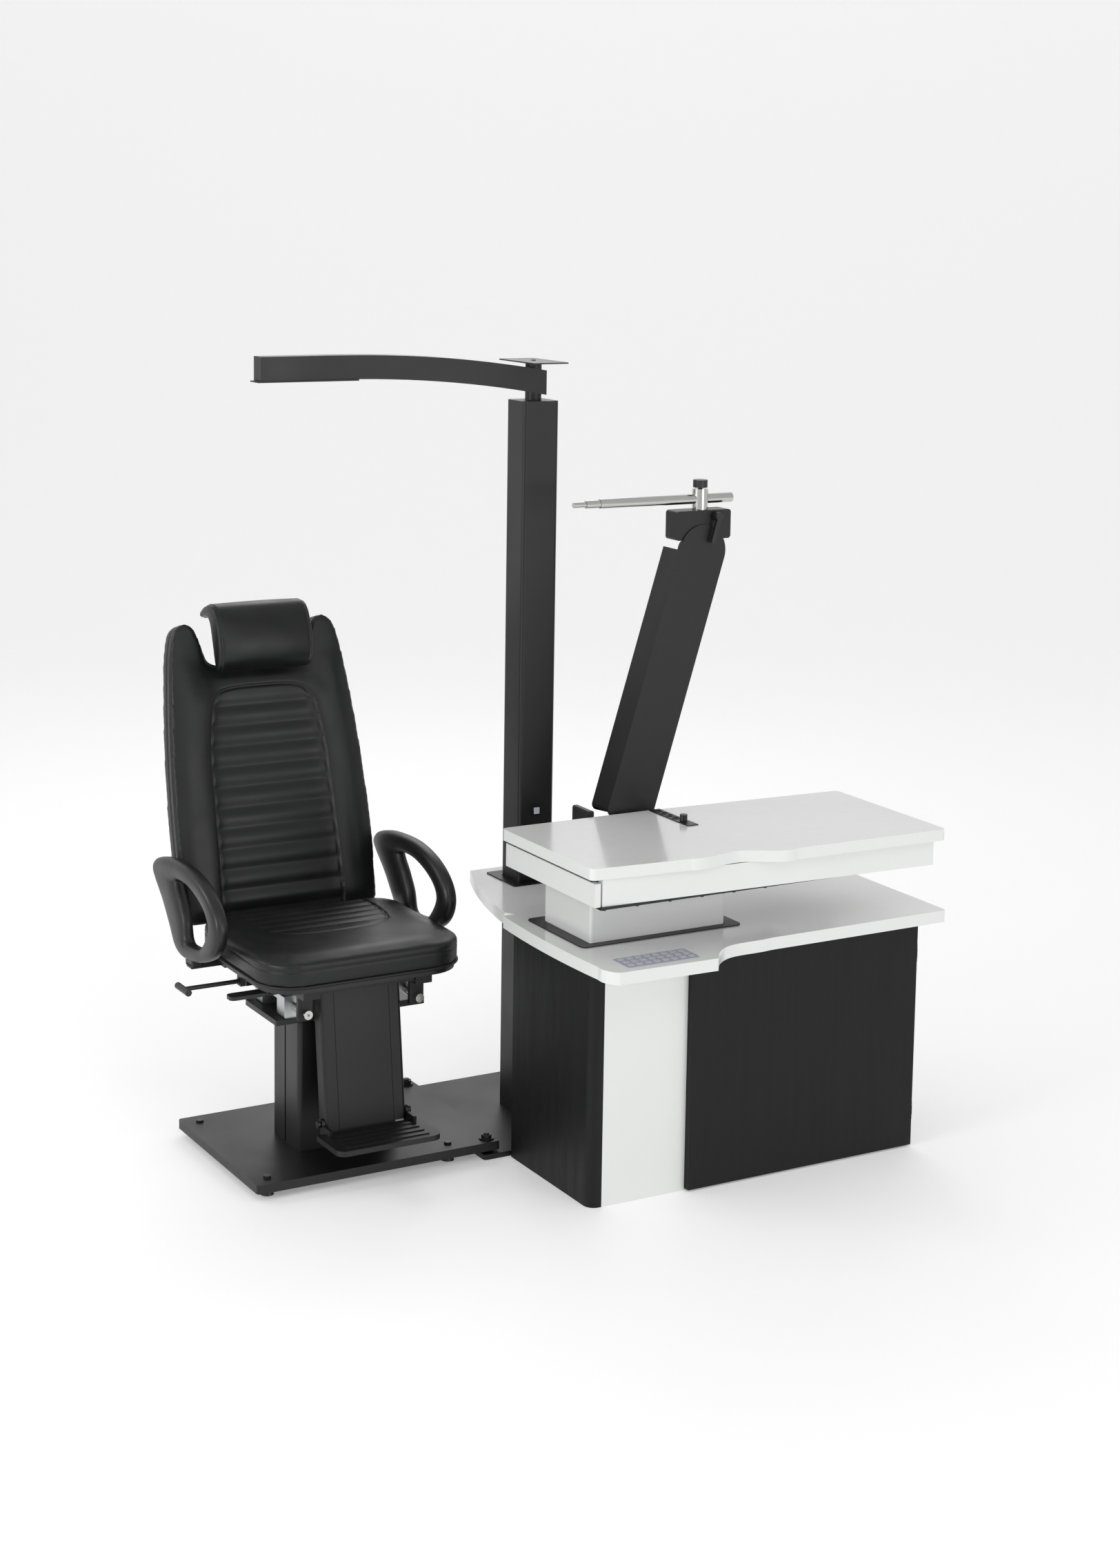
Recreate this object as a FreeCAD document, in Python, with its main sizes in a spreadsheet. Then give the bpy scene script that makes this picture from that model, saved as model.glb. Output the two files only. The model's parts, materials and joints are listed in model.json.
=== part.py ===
import FreeCAD, Part
import math
import os
import re
import Sketcher

# A complete eye-test (refraction) unit: patient chair, post with lamp arm, cabinet with two
# worktops and a parallelogram arm whose chrome rod carries the phoropter.
# Frame: the post's axis at floor level is the origin, +X along the cabinet, +Y to the back,
# +Z up. Millimetres and degrees.

SIZES = {
    # chair base plate and the plate under the post
    "plate_left": -778, "plate_front": -241, "plate_wide": 586, "plate_deep": 459,
    "plate_base": 17, "plate_thick": 20, "plate_corner": 8,
    "floor_left": -236, "floor_front": -248, "floor_wide": 351, "floor_deep": 478, "floor_thick": 12,
    "foot_inset": 38, "foot_right": -305, "foot_radius": 15, "stud_radius": 6,
    "clamp_across": -214, "clamp_front": -215, "clamp_back": 190, "clamp_radius": 7,
    # post, its head and the lamp arm
    "post_wide": 90, "post_deep": 82, "post_top": 1672, "post_wall": 4,
    "spindle_radius": 18.5, "journal_radius": 12, "swivel_radius": 6,
    "lamp_top": 1782, "lamp_under": 1730, "lamp_bend": -480, "lamp_end": -673, "lamp_thick": 38,
    "lamp_hub_top": 1747, "lamp_hub_base": 1684, "lamp_near": 24,
    "plate_top": 1761, "shelf_wide": 90, "shelf_deep": 165,
    "switch_across": -1, "switch_height": 730,
    # cabinet
    "cabinet_left": -172, "cabinet_right": 666, "cabinet_front": -602, "cabinet_back": -255,
    "cabinet_top": 533, "board": 18, "trim_wide": 30, "door_left": 66.5, "door_proud": 16.3,
    "partition_left": 215, "hinge_across": 672, "hinge_depth": -603,
    # lower worktop and its collars
    "desk_top": 560, "desk_thick": 27, "desk_right": 709, "desk_back": 117,
    "lift_centre": 29, "lift_depth": -435, "housing_wide": 340, "housing_deep": 200,
    "lift_outer": 120, "lift_inner": 108,
    # upper table
    "table_top": 765, "table_thick": 25, "table_left": -220, "table_right": 655,
    "apron_base": 681, "apron_top": 731, "apron_left": -210, "apron_right": 638,
    "drawer_angle": -2.2, "drawer_front_left": -668, "strip_left": 154, "strip_wide": 28,
    "strip_front": -448, "strip_back": -284,
    # phoropter arm
    "arm_foot_across": 120, "arm_foot_height": 770, "arm_long": 600, "arm_lean": 17,
    "arm_front": -265, "arm_back": -190, "arm_half": 60, "arm_tail": 28, "arm_short": 12,
    "link_across": -26, "link_drop": 24, "main_pin": 10, "link_pin": 6,
    "head_left": 226, "head_right": 370, "head_base": 1370, "head_top": 1436, "head_deep": 50,
    "barrel_across": 300, "barrel_depth": -240, "barrel_radius": 18, "barrel_top": 1483,
    "rod_height": 1460, "rod_radius": 11, "rod_right": 383, "rod_step": 37,
    "rod_neck": 2, "rod_tip": -29, "neck_radius": 9, "tip_radius": 6.25,
    "lever_across": 329, "lever_height": 1422,
    # chair pedestal
    "chair_middle": -500, "column_half": 120, "column_front": -98, "column_back": 34,
    "column_top": 330, "column_wall": 6, "panel_half": 97, "panel_foot": 110,
    "panel_front": -193, "panel_long": 304, "panel_lean": -6.8, "panel_deep": 32,
    "tread_half": 124, "tread_front": -320, "tread_back": -203, "tread_base": 98, "tread_thick": 12,
    "step_depth": -178, "step_height": 124, "carriage_base": 338,
    "shaft_across": 134, "shaft_height": 375, "shaft_radius": 10,
    # seat, arms and back
    "seat_half": 240, "seat_front": -225, "seat_back": 200, "pan_base": 436, "pan_thick": 13,
    "cushion_top": 505, "rest_inner": 260, "rest_thick": 36,
    "back_hinge_depth": 225, "back_hinge_height": 425, "back_foot_depth": 244,
    "back_foot_height": 480, "back_lean": -15.1, "back_thick": 65,
    "running_gap": 0.05,
}

doc = FreeCAD.newDocument("refraction_unit")
sheet = doc.addObject("Spreadsheet::Sheet", "Sizes")
for row, (alias, value) in enumerate(SIZES.items(), 1):
    sheet.set("A%d" % row, alias)
    sheet.set("B%d" % row, str(value))
    sheet.setAlias("B%d" % row, alias)
doc.recompute()

NODES = []


def size(alias):
    """The number that the sheet holds for an alias."""
    return float(sheet.get(alias))


def formula(text):
    """The same formula with each alias written as a cell of the sheet."""
    named = lambda word: "Sizes." + word.group(0) if word.group(0) in SIZES else word.group(0)
    return re.sub(r"[a-z_]+", named, str(text))


def bind(piece, **properties):
    for name, text in properties.items():
        piece.setExpression(name, formula(text))
    return piece


def place(piece, x, y, z):
    for axis, text in zip("xyz", (x, y, z)):
        piece.setExpression("Placement.Base." + axis, formula(text))
    return piece


def node(name, piece):
    """Names a finished sub-part, which is written to a file of that name."""
    piece.Label = name
    NODES.append(piece)
    return piece


def box(x, y, z, wide, deep, tall):
    piece = doc.addObject("Part::Box", "Block")
    bind(piece, Length=wide, Width=deep, Height=tall)
    return place(piece, x, y, z)


TURNS = {
    "x": FreeCAD.Rotation(FreeCAD.Vector(0, 1, 0), 90),
    "y": FreeCAD.Rotation(FreeCAD.Vector(1, 0, 0), -90),
    "z": FreeCAD.Rotation(),
}


def bar(x, y, z, radius, length, along="z"):
    """A round bar that starts at a point and runs along an axis."""
    piece = doc.addObject("Part::Cylinder", "Bar")
    piece.Placement.Rotation = TURNS[along]
    bind(piece, Radius=radius, Height=length)
    return place(piece, x, y, z)


def cone(x, y, z, low_radius, high_radius, length, along="z"):
    piece = doc.addObject("Part::Cone", "Taper")
    piece.Placement.Rotation = TURNS[along]
    bind(piece, Radius1=low_radius, Radius2=high_radius, Height=length)
    return place(piece, x, y, z)


def join(*pieces):
    piece = doc.addObject("Part::MultiFuse", "Joined")
    piece.Shapes = list(pieces)
    piece.Refine = True
    return piece


def cut(base, *tools):
    piece = doc.addObject("Part::Cut", "Cut")
    piece.Base = base
    piece.Tool = tools[0] if len(tools) == 1 else join(*tools)
    return piece


def group(*pieces):
    """Separate solids kept together in one node, for identical pieces."""
    piece = doc.addObject("Part::Compound", "Group")
    piece.Links = list(pieces)
    return piece


def rounded(base, radius, along="z", where=lambda point: True):
    """Rounds the straight edges that run along an axis."""
    doc.recompute()
    way = {"x": 0, "y": 1, "z": 2}[along]
    edges = []
    for number, edge in enumerate(base.Shape.Edges, 1):
        run = edge.Vertexes[-1].Point - edge.Vertexes[0].Point
        straight = edge.Curve.TypeId == "Part::GeomLine"
        if straight and run.Length and abs(run[way]) > 0.99 * run.Length:
            if where(edge.CenterOfMass):
                edges.append((number, radius, radius))
    piece = doc.addObject("Part::Fillet", "Rounded")
    piece.Base = base
    piece.Edges = edges
    return piece


def tilted(piece, angle, x, y, z, axis="x"):
    """Turns a piece that was built upright at the origin, then moves it to its place."""
    turn = doc.addObject("Part::Compound", "Tilted")
    turn.Links = [piece]
    spin = {"x": FreeCAD.Vector(1, 0, 0), "y": FreeCAD.Vector(0, 1, 0)}[axis]
    turn.Placement.Rotation = FreeCAD.Rotation(spin, angle)
    return place(turn, x, y, z)


def solid(shape):
    piece = doc.addObject("Part::Feature", "Formed")
    piece.Shape = shape
    return piece


def points(*pairs, axis="z", level=0):
    """Turns pairs into points on the plane at one level of an axis."""
    spots = {
        "x": lambda a, b: FreeCAD.Vector(level, a, b),
        "y": lambda a, b: FreeCAD.Vector(a, level, b),
        "z": lambda a, b: FreeCAD.Vector(a, b, level),
    }
    return [spots[axis](a, b) for a, b in pairs]


def arc(start, middle, end):
    return Part.Arc(start, middle, end).toShape()


def chain(*spots):
    return [Part.makeLine(a, b) for a, b in zip(spots, spots[1:])]


def curve(spots, closed=False):
    line = Part.BSplineCurve()
    line.interpolate(spots, PeriodicFlag=closed)
    return line.toShape()


def slab(edges, way):
    """A solid between an outline and its copy shifted along a vector."""
    face = Part.Face(Part.Wire(Part.__sortEdges__(edges)))
    return face.extrude(FreeCAD.Vector(*way))


def sketched_plate(x, y, z, wide, deep, thick, corner, holes=()):
    """A flat plate as a body: a sketched rectangle with round holes, padded, its corners rounded."""
    body = doc.addObject("PartDesign::Body", "Plate")
    sketch = body.newObject("Sketcher::SketchObject", "Outline")
    floor = [plane for plane in body.Origin.OriginFeatures if plane.Role == "XY_Plane"][0]
    sketch.AttachmentSupport = [(floor, "")]
    sketch.MapMode = "FlatFace"
    corners = points((0, 0), (10, 0), (10, 10), (0, 10))
    for side in range(4):
        sketch.addGeometry(Part.LineSegment(corners[side], corners[(side + 1) % 4]))
    for side in range(4):
        sketch.addConstraint(Sketcher.Constraint("Coincident", side, 2, (side + 1) % 4, 1))
    for side, way in enumerate(("Horizontal", "Vertical", "Horizontal", "Vertical")):
        sketch.addConstraint(Sketcher.Constraint(way, side))
    sketch.addConstraint(Sketcher.Constraint("Coincident", 0, 1, -1, 1))
    for side, way, text in ((0, "DistanceX", wide), (1, "DistanceY", deep)):
        length = sketch.addConstraint(Sketcher.Constraint(way, side, 1, side, 2, 10))
        sketch.setExpression("Constraints[%d]" % length, formula(text))
    for across, back, radius in holes:
        spot = FreeCAD.Vector(1, 1, 0)
        ring = sketch.addGeometry(Part.Circle(spot, FreeCAD.Vector(0, 0, 1), 1))
        for way, text in (("DistanceX", across), ("DistanceY", back)):
            length = sketch.addConstraint(Sketcher.Constraint(way, -1, 1, ring, 3, 1))
            sketch.setExpression("Constraints[%d]" % length, formula(text))
        length = sketch.addConstraint(Sketcher.Constraint("Radius", ring, 1))
        sketch.setExpression("Constraints[%d]" % length, formula(radius))
    pad = body.newObject("PartDesign::Pad", "Pad")
    pad.Profile = sketch
    pad.setExpression("Length", formula(thick))
    doc.recompute()
    around = pad.Shape.BoundBox
    upright = []
    for number, edge in enumerate(pad.Shape.Edges, 1):
        middle = edge.CenterOfMass
        at_side = min(abs(middle.x - around.XMin), abs(middle.x - around.XMax)) < 1e-4
        at_end = min(abs(middle.y - around.YMin), abs(middle.y - around.YMax)) < 1e-4
        if at_side and at_end:
            upright.append("Edge%d" % number)
    fillet = body.newObject("PartDesign::Fillet", "Corners")
    fillet.Base = (pad, upright)
    fillet.setExpression("Radius", formula(corner))
    body.Tip = fillet
    return place(body, x, y, z)


def mirrored_about_chair(maker):
    """Makes a piece for the left (-1) and the right (+1) side of the chair."""
    return [maker(side) for side in (-1, 1)]


# ---- floor plates and post ----

def floor_parts():
    wide, deep, inset = "plate_wide", "plate_deep", "foot_inset"
    right = "foot_right - plate_left"
    feet_holes = [(inset, inset), (right, inset),
                  (inset, deep + " - " + inset), (right, deep + " - " + inset)]
    holes = [(x, y, "stud_radius + 0.1") for x, y in feet_holes]
    holes += [("clamp_across - plate_left", y + " - plate_front", "clamp_radius + 0.1")
              for y in ("clamp_front", "clamp_back")]
    node("chair_base_plate", sketched_plate("plate_left", "plate_front", "plate_base",
                                            wide, deep, "plate_thick", "plate_corner", holes))
    holes = [("clamp_across - floor_left", y + " - floor_front", "clamp_radius + 0.1")
             for y in ("clamp_front", "clamp_back")]
    node("column_floor_plate", sketched_plate("floor_left", "floor_front", 0, "floor_wide",
                                              "floor_deep", "floor_thick", "plate_corner", holes))
    feet = []
    for across, back in feet_holes:
        x, y = "plate_left + " + across, "plate_front + " + back
        pad = cone(x, y, 0, "foot_radius", "foot_radius - 2", 8)
        nut = bar(x, y, 8, "stud_radius + 4", "plate_base - 8")
        stud = bar(x, y, "plate_base", "stud_radius", "plate_thick + 3")
        cap = bar(x, y, "plate_base + plate_thick", "stud_radius + 2.5", 5)
        feet.append(join(pad, nut, stud, cap))
    node("levelling_feet", group(*feet))
    bolts = []
    for y in ("clamp_front", "clamp_back"):
        top = "plate_base + plate_thick"
        shank = bar("clamp_across", y, 2, "clamp_radius", top + " + 12")
        spacer = bar("clamp_across", y, "floor_thick", "clamp_radius + 9", "plate_base - floor_thick")
        washer = bar("clamp_across", y, top, "clamp_radius + 10", 3)
        nut = bar("clamp_across", y, top + " + 3", "clamp_radius + 5", 8)
        bolts.append(join(shank, spacer, washer, nut))
    node("plate_clamp_bolts", group(*bolts))


def post_parts():
    tall = "post_top - 4 - floor_thick"
    left, front = "-post_wide / 2", "-post_deep / 2"
    outer = rounded(box(left, front, "floor_thick", "post_wide", "post_deep", tall), 8)
    inner = box(left + " + post_wall", front + " + post_wall", "floor_thick",
                "post_wide - 2 * post_wall", "post_deep - 2 * post_wall", tall)
    frame = box("switch_across - 11", front + " - 2", "switch_height - 14", 22, 5, 28)
    window = box("switch_across - 8", front + " - 3", "switch_height - 11", 16, 10, 22)
    pivot_hole = bar("switch_across - 10", front + " - 0.5", "switch_height", "1.2 + running_gap", 20, "x")
    case = join(cut(outer, inner), rounded(frame, 1.5, "y"))
    node("column_post", cut(case, window, pivot_hole))

    cap = rounded(box(left, front, "post_top - 4", "post_wide", "post_deep", 4), 8)
    drum = bar(0, 0, "post_top", "spindle_radius", "lamp_hub_base - 0.3 - post_top")
    journal = bar(0, 0, "post_top", "journal_radius", "lamp_hub_top - 1 - post_top")
    bore = bar(0, 0, "lamp_hub_top - 32", "swivel_radius + running_gap", 40)
    node("lamp_spindle", cut(join(cap, drum, journal), bore))

    key = join(box("-7.6", "-2.5", "-9.5", 15.2, 6, 19), bar(-9.5, 0, 0, 1.2, 19, "x"))
    node("rocker_switch", tilted(key, -6, "switch_across", front + " - 0.5", "switch_height"))


# ---- overhead arm ----

def lamp_parts():
    half = size("lamp_thick") / 2
    bend, end, near = size("lamp_bend"), size("lamp_end"), size("lamp_near")
    edges = []
    for level, drop in ((size("lamp_top"), 42.6), (size("lamp_under"), 46.0)):
        radius = ((near - bend) ** 2 + drop ** 2) / (2 * drop)
        angle = math.asin((near - bend) / radius) / 2
        spots = points((end, level), (bend, level),
                       (bend + radius * math.sin(angle), level - radius * (1 - math.cos(angle))),
                       (near, level - drop), axis="y", level=-half)
        edges += [Part.makeLine(spots[0], spots[1]), arc(*spots[1:])]
    ends = [edge.Vertexes[i].Point for edge, i in
            ((edges[0], 0), (edges[2], 0), (edges[1], 1), (edges[3], 1))]
    edges += [Part.makeLine(ends[0], ends[1]), Part.makeLine(ends[2], ends[3])]
    beam = solid(slab(edges, (0, 2 * half, 0)))
    hub = bar(0, 0, "lamp_hub_base", "spindle_radius", "lamp_hub_top - lamp_hub_base")
    bore = bar(0, 0, "lamp_hub_base - 5", "journal_radius + running_gap", 80)
    well = box("lamp_end + 12", "-lamp_thick / 2 + 3", "lamp_under - 1", 218, "lamp_thick - 6", 16)
    node("lamp_arm", cut(join(beam, hub), bore, well))

    lip = box("lamp_end - 7", "-lamp_thick / 2 - 3", "lamp_under - 3.3", 236, "lamp_thick + 6", 3)
    window = box("lamp_end + 14", "-lamp_thick / 2 + 5", "lamp_under - 5", 214, "lamp_thick - 10", 6)
    node("lamp_lip_plate", cut(lip, window))
    node("lamp_diffuser", box("lamp_end + 15", "-lamp_thick / 2 + 6", "lamp_under - 2.3",
                              212, "lamp_thick - 12", 12))

    shelf = rounded(box("-shelf_wide / 2", "-shelf_deep / 2", "plate_top - 3",
                        "shelf_wide", "shelf_deep", 3), 3)
    collar = bar(0, 0, "lamp_hub_top + 0.3", "spindle_radius", "plate_top - 3.3 - lamp_hub_top")
    pin = bar(0, 0, "lamp_hub_top - 30", "swivel_radius", 32)
    screw = bar(0, 0, "plate_top", 5, 2)
    node("projector_plate", join(shelf, collar, pin, screw))


# ---- cabinet ----

def cabinet_parts():
    deep = "cabinet_back - cabinet_front"
    node("cabinet_left_side", box("cabinet_left", "cabinet_front + 34", 0,
                                  "board", deep + " - 34", "cabinet_top"))
    trim = box("cabinet_left", "cabinet_front", 0, "trim_wide", 34, "cabinet_top")
    edge = size("cabinet_left") + 1
    front = size("cabinet_front") + 1
    node("cabinet_corner_trim", rounded(trim, 24, where=lambda p: p.x < edge and p.y < front))
    node("cabinet_front_panel", box("cabinet_left + trim_wide", "cabinet_front", 0,
                                    "door_left - 0.5 - cabinet_left - trim_wide", "board", "cabinet_top"))
    node("cabinet_right_side", box("cabinet_right - board", "cabinet_front + 2", 0,
                                   "board", deep + " - 2", "cabinet_top"))
    node("cabinet_back", box("cabinet_left + board", "cabinet_back - board", 0,
                             "cabinet_right - cabinet_left - 2 * board", "board", "cabinet_top"))
    inner_deep = deep + " - 2 * board"
    base = box("cabinet_left + trim_wide", "cabinet_front + board", 0,
               "cabinet_right - cabinet_left - trim_wide - board", inner_deep, "board")
    wall = box("partition_left", "cabinet_front + board", "board",
               "board", inner_deep, "cabinet_top - board")
    tray = box("partition_left + board", "cabinet_front + board + 4", 265,
               "cabinet_right - partition_left - 2 * board", inner_deep + " - 4", "board")
    node("cabinet_inner_boards", group(base, wall, tray))
    node("cabinet_door", door())
    node("door_hinges", group(*[hinge_half(z) for z in (60, 430)]))


def door():
    """The door with two knuckles that turn on the cabinet's hinge pins."""
    leaf = box("door_left", "cabinet_front - door_proud", 4,
               "cabinet_right - door_left", "board", "cabinet_top - 8")
    knuckles = []
    for z in (60, 430):
        eye = bar("hinge_across", "hinge_depth", z + 10, 5.5, 20)
        strap = box("cabinet_right - 2", "hinge_depth - 5.5", z + 10,
                    "hinge_across + 2 - cabinet_right", 5, 20)
        knuckles += [eye, strap]
    bores = [bar("hinge_across", "hinge_depth", z, "3 + running_gap", 40) for z in (60, 430)]
    return cut(join(leaf, *knuckles), *bores)


def hinge_half(z):
    """A pin between two knuckles, on a strap along the cabinet's side."""
    parts = [bar("hinge_across", "hinge_depth", z, 3, 40)]
    for low in (z, z + 30.3):
        parts.append(bar("hinge_across", "hinge_depth", low, 5.5, 9.7))
        parts.append(box("cabinet_right", "hinge_depth", low, 2.5, 33, 9.7))
    return join(*parts)


# ---- lower worktop ----

def lower_worktop_parts():
    level = size("desk_top") - size("desk_thick")
    right, back = size("desk_right"), size("desk_back")
    rear = size("cabinet_back")
    left = points((-87, back), (-148, -60), (-186, -236), (-172, rear - 3), (-201, rear - 3),
                  (-214, -490), (-209, -685), (-188, -740), axis="z", level=level)
    front = points((48, -745), (65, -720), (91, -694), (118, -679), (157, -673), (231, -669),
                   (right - 12, -664), axis="z", level=level)
    corner = points((right - 4, -662), (right, -655), (right, rear), (150, rear), (150, back),
                    (-87, back), axis="z", level=level)
    edges = [arc(left[0], left[1], left[2])] + chain(*left[2:5])
    edges += [arc(left[4], left[5], left[6])]
    edges += [arc(left[6], FreeCAD.Vector(-204, -722, level), left[7])]
    edges += [Part.makeLine(left[7], front[0])]
    edges += [curve(front[:6]), Part.makeLine(front[5], front[6])]
    edges += [arc(front[6], corner[0], corner[1])] + chain(*corner[1:])
    board = solid(slab(edges, (0, 0, size("desk_thick"))))
    lift_hole = box("lift_centre - housing_wide / 2 - 8", "lift_depth - housing_deep / 2 - 8", 500,
                    "housing_wide + 16", "housing_deep + 16", 100)
    post_hole = box("-post_wide / 2 - 8", "-post_deep / 2 - 8", 500, "post_wide + 16", "post_deep + 16", 100)
    node("lower_worktop", cut(board, lift_hole, post_hole))

    post_ring = rounded(box(-65, -59, "desk_top", 130, 138, 3), 6)
    post_gap = box("-post_wide / 2 - 0.5", "-post_deep / 2 - 0.5", "desk_top - 1",
                   "post_wide + 1", "post_deep + 1", 6)
    lift_ring = rounded(box("lift_centre - 200.5", "lift_depth - 122", "desk_top", 403, 249, 2.5), 14)
    lift_gap = box("lift_centre - housing_wide / 2 - 1.5", "lift_depth - housing_deep / 2 - 1.5",
                   "desk_top - 1", "housing_wide + 3", "housing_deep + 3", 6)
    node("worktop_collars", group(cut(post_ring, post_gap), cut(lift_ring, lift_gap)))
    node("keypad_panel", rounded(box(-156, -719, "desk_top", 174, 66, 1.2), 4))

    outer = box("lift_centre - lift_outer / 2", "lift_depth - lift_outer / 2", "board",
                "lift_outer", "lift_outer", 402)
    hollow = box("lift_centre - lift_outer / 2 + 5", "lift_depth - lift_outer / 2 + 5", "board + 6",
                 "lift_outer - 10", "lift_outer - 10", 420)
    node("table_lift_outer", cut(rounded(outer, 6), hollow))


# ---- upper table ----

def table_top_shape():
    level = size("table_top") - size("table_thick")
    left, right = size("table_left"), size("table_right")
    spots = points((left, -281), (left, -671), (10, -690), (right, -722), (right, -308), (158, -281),
                   axis="z", level=level)
    near = points((10, -690), (75, -688.5), (135, -679), (170, -690), (207, -711.5), (262, -714.5),
                  axis="z", level=level)
    edges = chain(*spots[:3]) + [curve(near)] + chain(near[-1], *spots[3:], spots[0])
    return slab(edges, (0, 0, size("table_thick")))


def table_parts():
    left, right = size("table_left") + 1, size("table_right") - 1
    board = rounded(solid(table_top_shape()), 12, where=lambda p: p.x < left or p.x > right)
    slot = box("strip_left", "strip_front", "table_top - 6", "strip_wide",
               "strip_back - strip_front", 10)
    shaft_hole = bar("strip_left + strip_wide / 2", "strip_front + 40", "table_top - 30", 3.6, 40)
    node("table_top", cut(board, slot, shaft_hole))

    strip = box("strip_left + 0.2", "strip_front + 0.2", "table_top - 6",
                "strip_wide - 0.4", "strip_back - strip_front - 0.4", 8)
    middle = "strip_left + strip_wide / 2"
    sockets = [bar(middle, "strip_front + %d" % y, "table_top - 4", 8, 8) for y in (72, 96, 120, 144)]
    tube = bar(middle, "strip_front + 40", "table_top - 8", "3 + running_gap", 20)
    rims = []
    for y in (72, 96, 120, 144):
        rims.append(cut(bar(middle, "strip_front + %d" % y, "table_top - 4", 9.5, 7.5),
                        bar(middle, "strip_front + %d" % y, "table_top - 4", 6.5, 9)))
    node("control_strip", join(cut(strip, tube, *sockets), *rims))

    skirt = bar(middle, "strip_front + 40", "table_top + 2.4", 8.5, 15)
    stem = bar(middle, "strip_front + 40", "table_top - 18", 3, 22)
    node("control_knob", join(skirt, stem))

    base = size("apron_top")
    spots = points((-206, -286), (-206, -647), (640, -647), (640, -312), (158, -286), axis="z",
                   level=base)
    rise = size("table_top") - size("table_thick") - base
    node("table_sub_board", solid(slab(chain(*spots, spots[0]), (0, 0, rise))))
    tall = "apron_top - apron_base"
    side = box("apron_left", -668, "apron_base", 14, 384, tall)
    far = box("apron_right - 14", -649, "apron_base", 14, 335, tall)
    right, low = size("apron_right"), size("apron_base")
    spots = points((-200, -298), (158, -298), (right, -324), (right, -310), (158, -284), (-200, -284),
                   axis="z", level=low)
    rear = solid(slab(chain(*spots, spots[0]), (0, 0, size("apron_top") - low)))
    node("table_apron", join(side, far, rear))
    tray = box("apron_left + 12", -672, "apron_base - 6", 684, 372, 6)
    screws = [bar("apron_left + %g" % (25 + 80 * k), -664, "apron_base - 9", 4, 5) for k in range(6)]
    node("table_under_plate", join(tray, *screws))

    left, front = "lift_centre - housing_wide / 2", "lift_depth - housing_deep / 2"
    top = "apron_base - 6"
    shell = rounded(box(left, front, 300, "housing_wide", "housing_deep", top + " - 300"), 6)
    void = box(left + " + 3", front + " + 3", 290, "housing_wide - 6", "housing_deep - 6", top + " - 280")
    node("lift_housing", cut(shell, void))
    inner = box("lift_centre - lift_inner / 2", "lift_depth - lift_inner / 2", 150,
                "lift_inner", "lift_inner", top + " - 150")
    node("table_lift_inner", rounded(inner, 4))


def drawer_parts():
    """A shallow drawer whose front follows the table's slanting front edge."""
    wide = size("apron_right") - size("apron_left") - 14
    front = tilted_drawer_front(wide - 4.5)
    node("drawer_front", front)
    left = "apron_left + 18"
    outer = box(left, -650, "apron_base + 2", "apron_right - apron_left - 36", 310, 42)
    inner = box("apron_left + 24", -644, "apron_base + 6", "apron_right - apron_left - 48", 298, 50)
    node("drawer_box", cut(outer, inner))


def tilted_drawer_front(wide):
    left, depth = size("apron_left") + 18, size("drawer_front_left")
    drop = math.tan(math.radians(size("drawer_angle"))) * wide
    low = size("apron_base")
    spots = points((left, depth), (left + wide, depth + drop), (left + wide, -650), (left, -650),
                   axis="z", level=low)
    tall = size("table_top") - size("table_thick") - 1.5 - low
    return solid(slab(chain(*spots, spots[0]), (0, 0, tall)))


# ---- phoropter arm ----

def leaned(piece):
    """Sets a piece built upright on the foot pivot at the arm's lean."""
    return tilted(piece, size("arm_lean"), "arm_foot_across", 0, "arm_foot_height", axis="y")


def pin_y(x, z, radius, front, back):
    """A round pin along Y between two depths."""
    return bar(x, front, z, radius, "%s - (%s)" % (back, front), "y")


def phoropter_arm_parts():
    across, height = "arm_foot_across", "arm_foot_height"
    block = rounded(box(10, -262, "desk_top", 170, 69, 140), 6)
    cheek = rounded(box(8, -262, "desk_top", 16, 69, 214), 5, "y")
    tongue = box(across + " - 36", -246, 690, 62, 10, height + " - 690")
    eye = pin_y(across, height, 26, -246, -236)
    pin = pin_y(across, height, "main_pin", -249, -193)
    low_pin = pin_y(across + " + link_across", height + " - link_drop", "link_pin", -257, -240)
    ear = pin_y(across + " + link_across", height + " - link_drop", 10, -246, -236)
    node("arm_pedestal", join(block, cheek, tongue, eye, pin, low_pin, ear))

    long = "arm_long - arm_short + arm_tail"
    front = box("-arm_half", "arm_front", "-arm_tail", "2 * arm_half", 3, "arm_long + arm_tail")
    low_edge = -size("arm_tail") + 1
    front = rounded(front, 16, "y", where=lambda p: p.z < low_edge)
    crown = pin_y(0, "arm_long", "arm_half", "arm_front", "arm_front + 3")
    node("arm_front_plate", leaned(join(front, crown)))

    shell = box("-arm_half", "arm_front + 3", "-arm_tail", "2 * arm_half",
                "arm_back - arm_front - 3", long)
    shell = rounded(shell, 16, "y", where=lambda p: p.z < low_edge)
    shell = rounded(shell, 5, "z", where=lambda p: p.y > -195)
    hollow = box("2 - arm_half", "arm_front + 2", "-arm_tail - 2", "2 * arm_half - 4",
                 "arm_back - arm_front - 4", long + " + 4")
    boss = pin_y(0, 0, 17, -235, "arm_back - 1")
    bore = pin_y(0, 0, "main_pin + running_gap", -250, "arm_back - 2")
    ear = pin_y(0, "arm_long", 19, "arm_back - 12", "arm_back")
    strut = box(-19, "arm_back - 12", "arm_long - 40", 38, 12, 40)
    shoulder = pin_y(0, "arm_long", 14, -234.7, "arm_back - 11")
    top_pin = pin_y(0, "arm_long", "main_pin", -249, "arm_back - 11")
    cover = join(cut(shell, hollow), boss, ear, strut, shoulder, top_pin)
    node("arm_side_cover", leaned(cut(cover, bore)))

    node("leveling_link", levelling_link())
    node("arm_head", arm_head())


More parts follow.
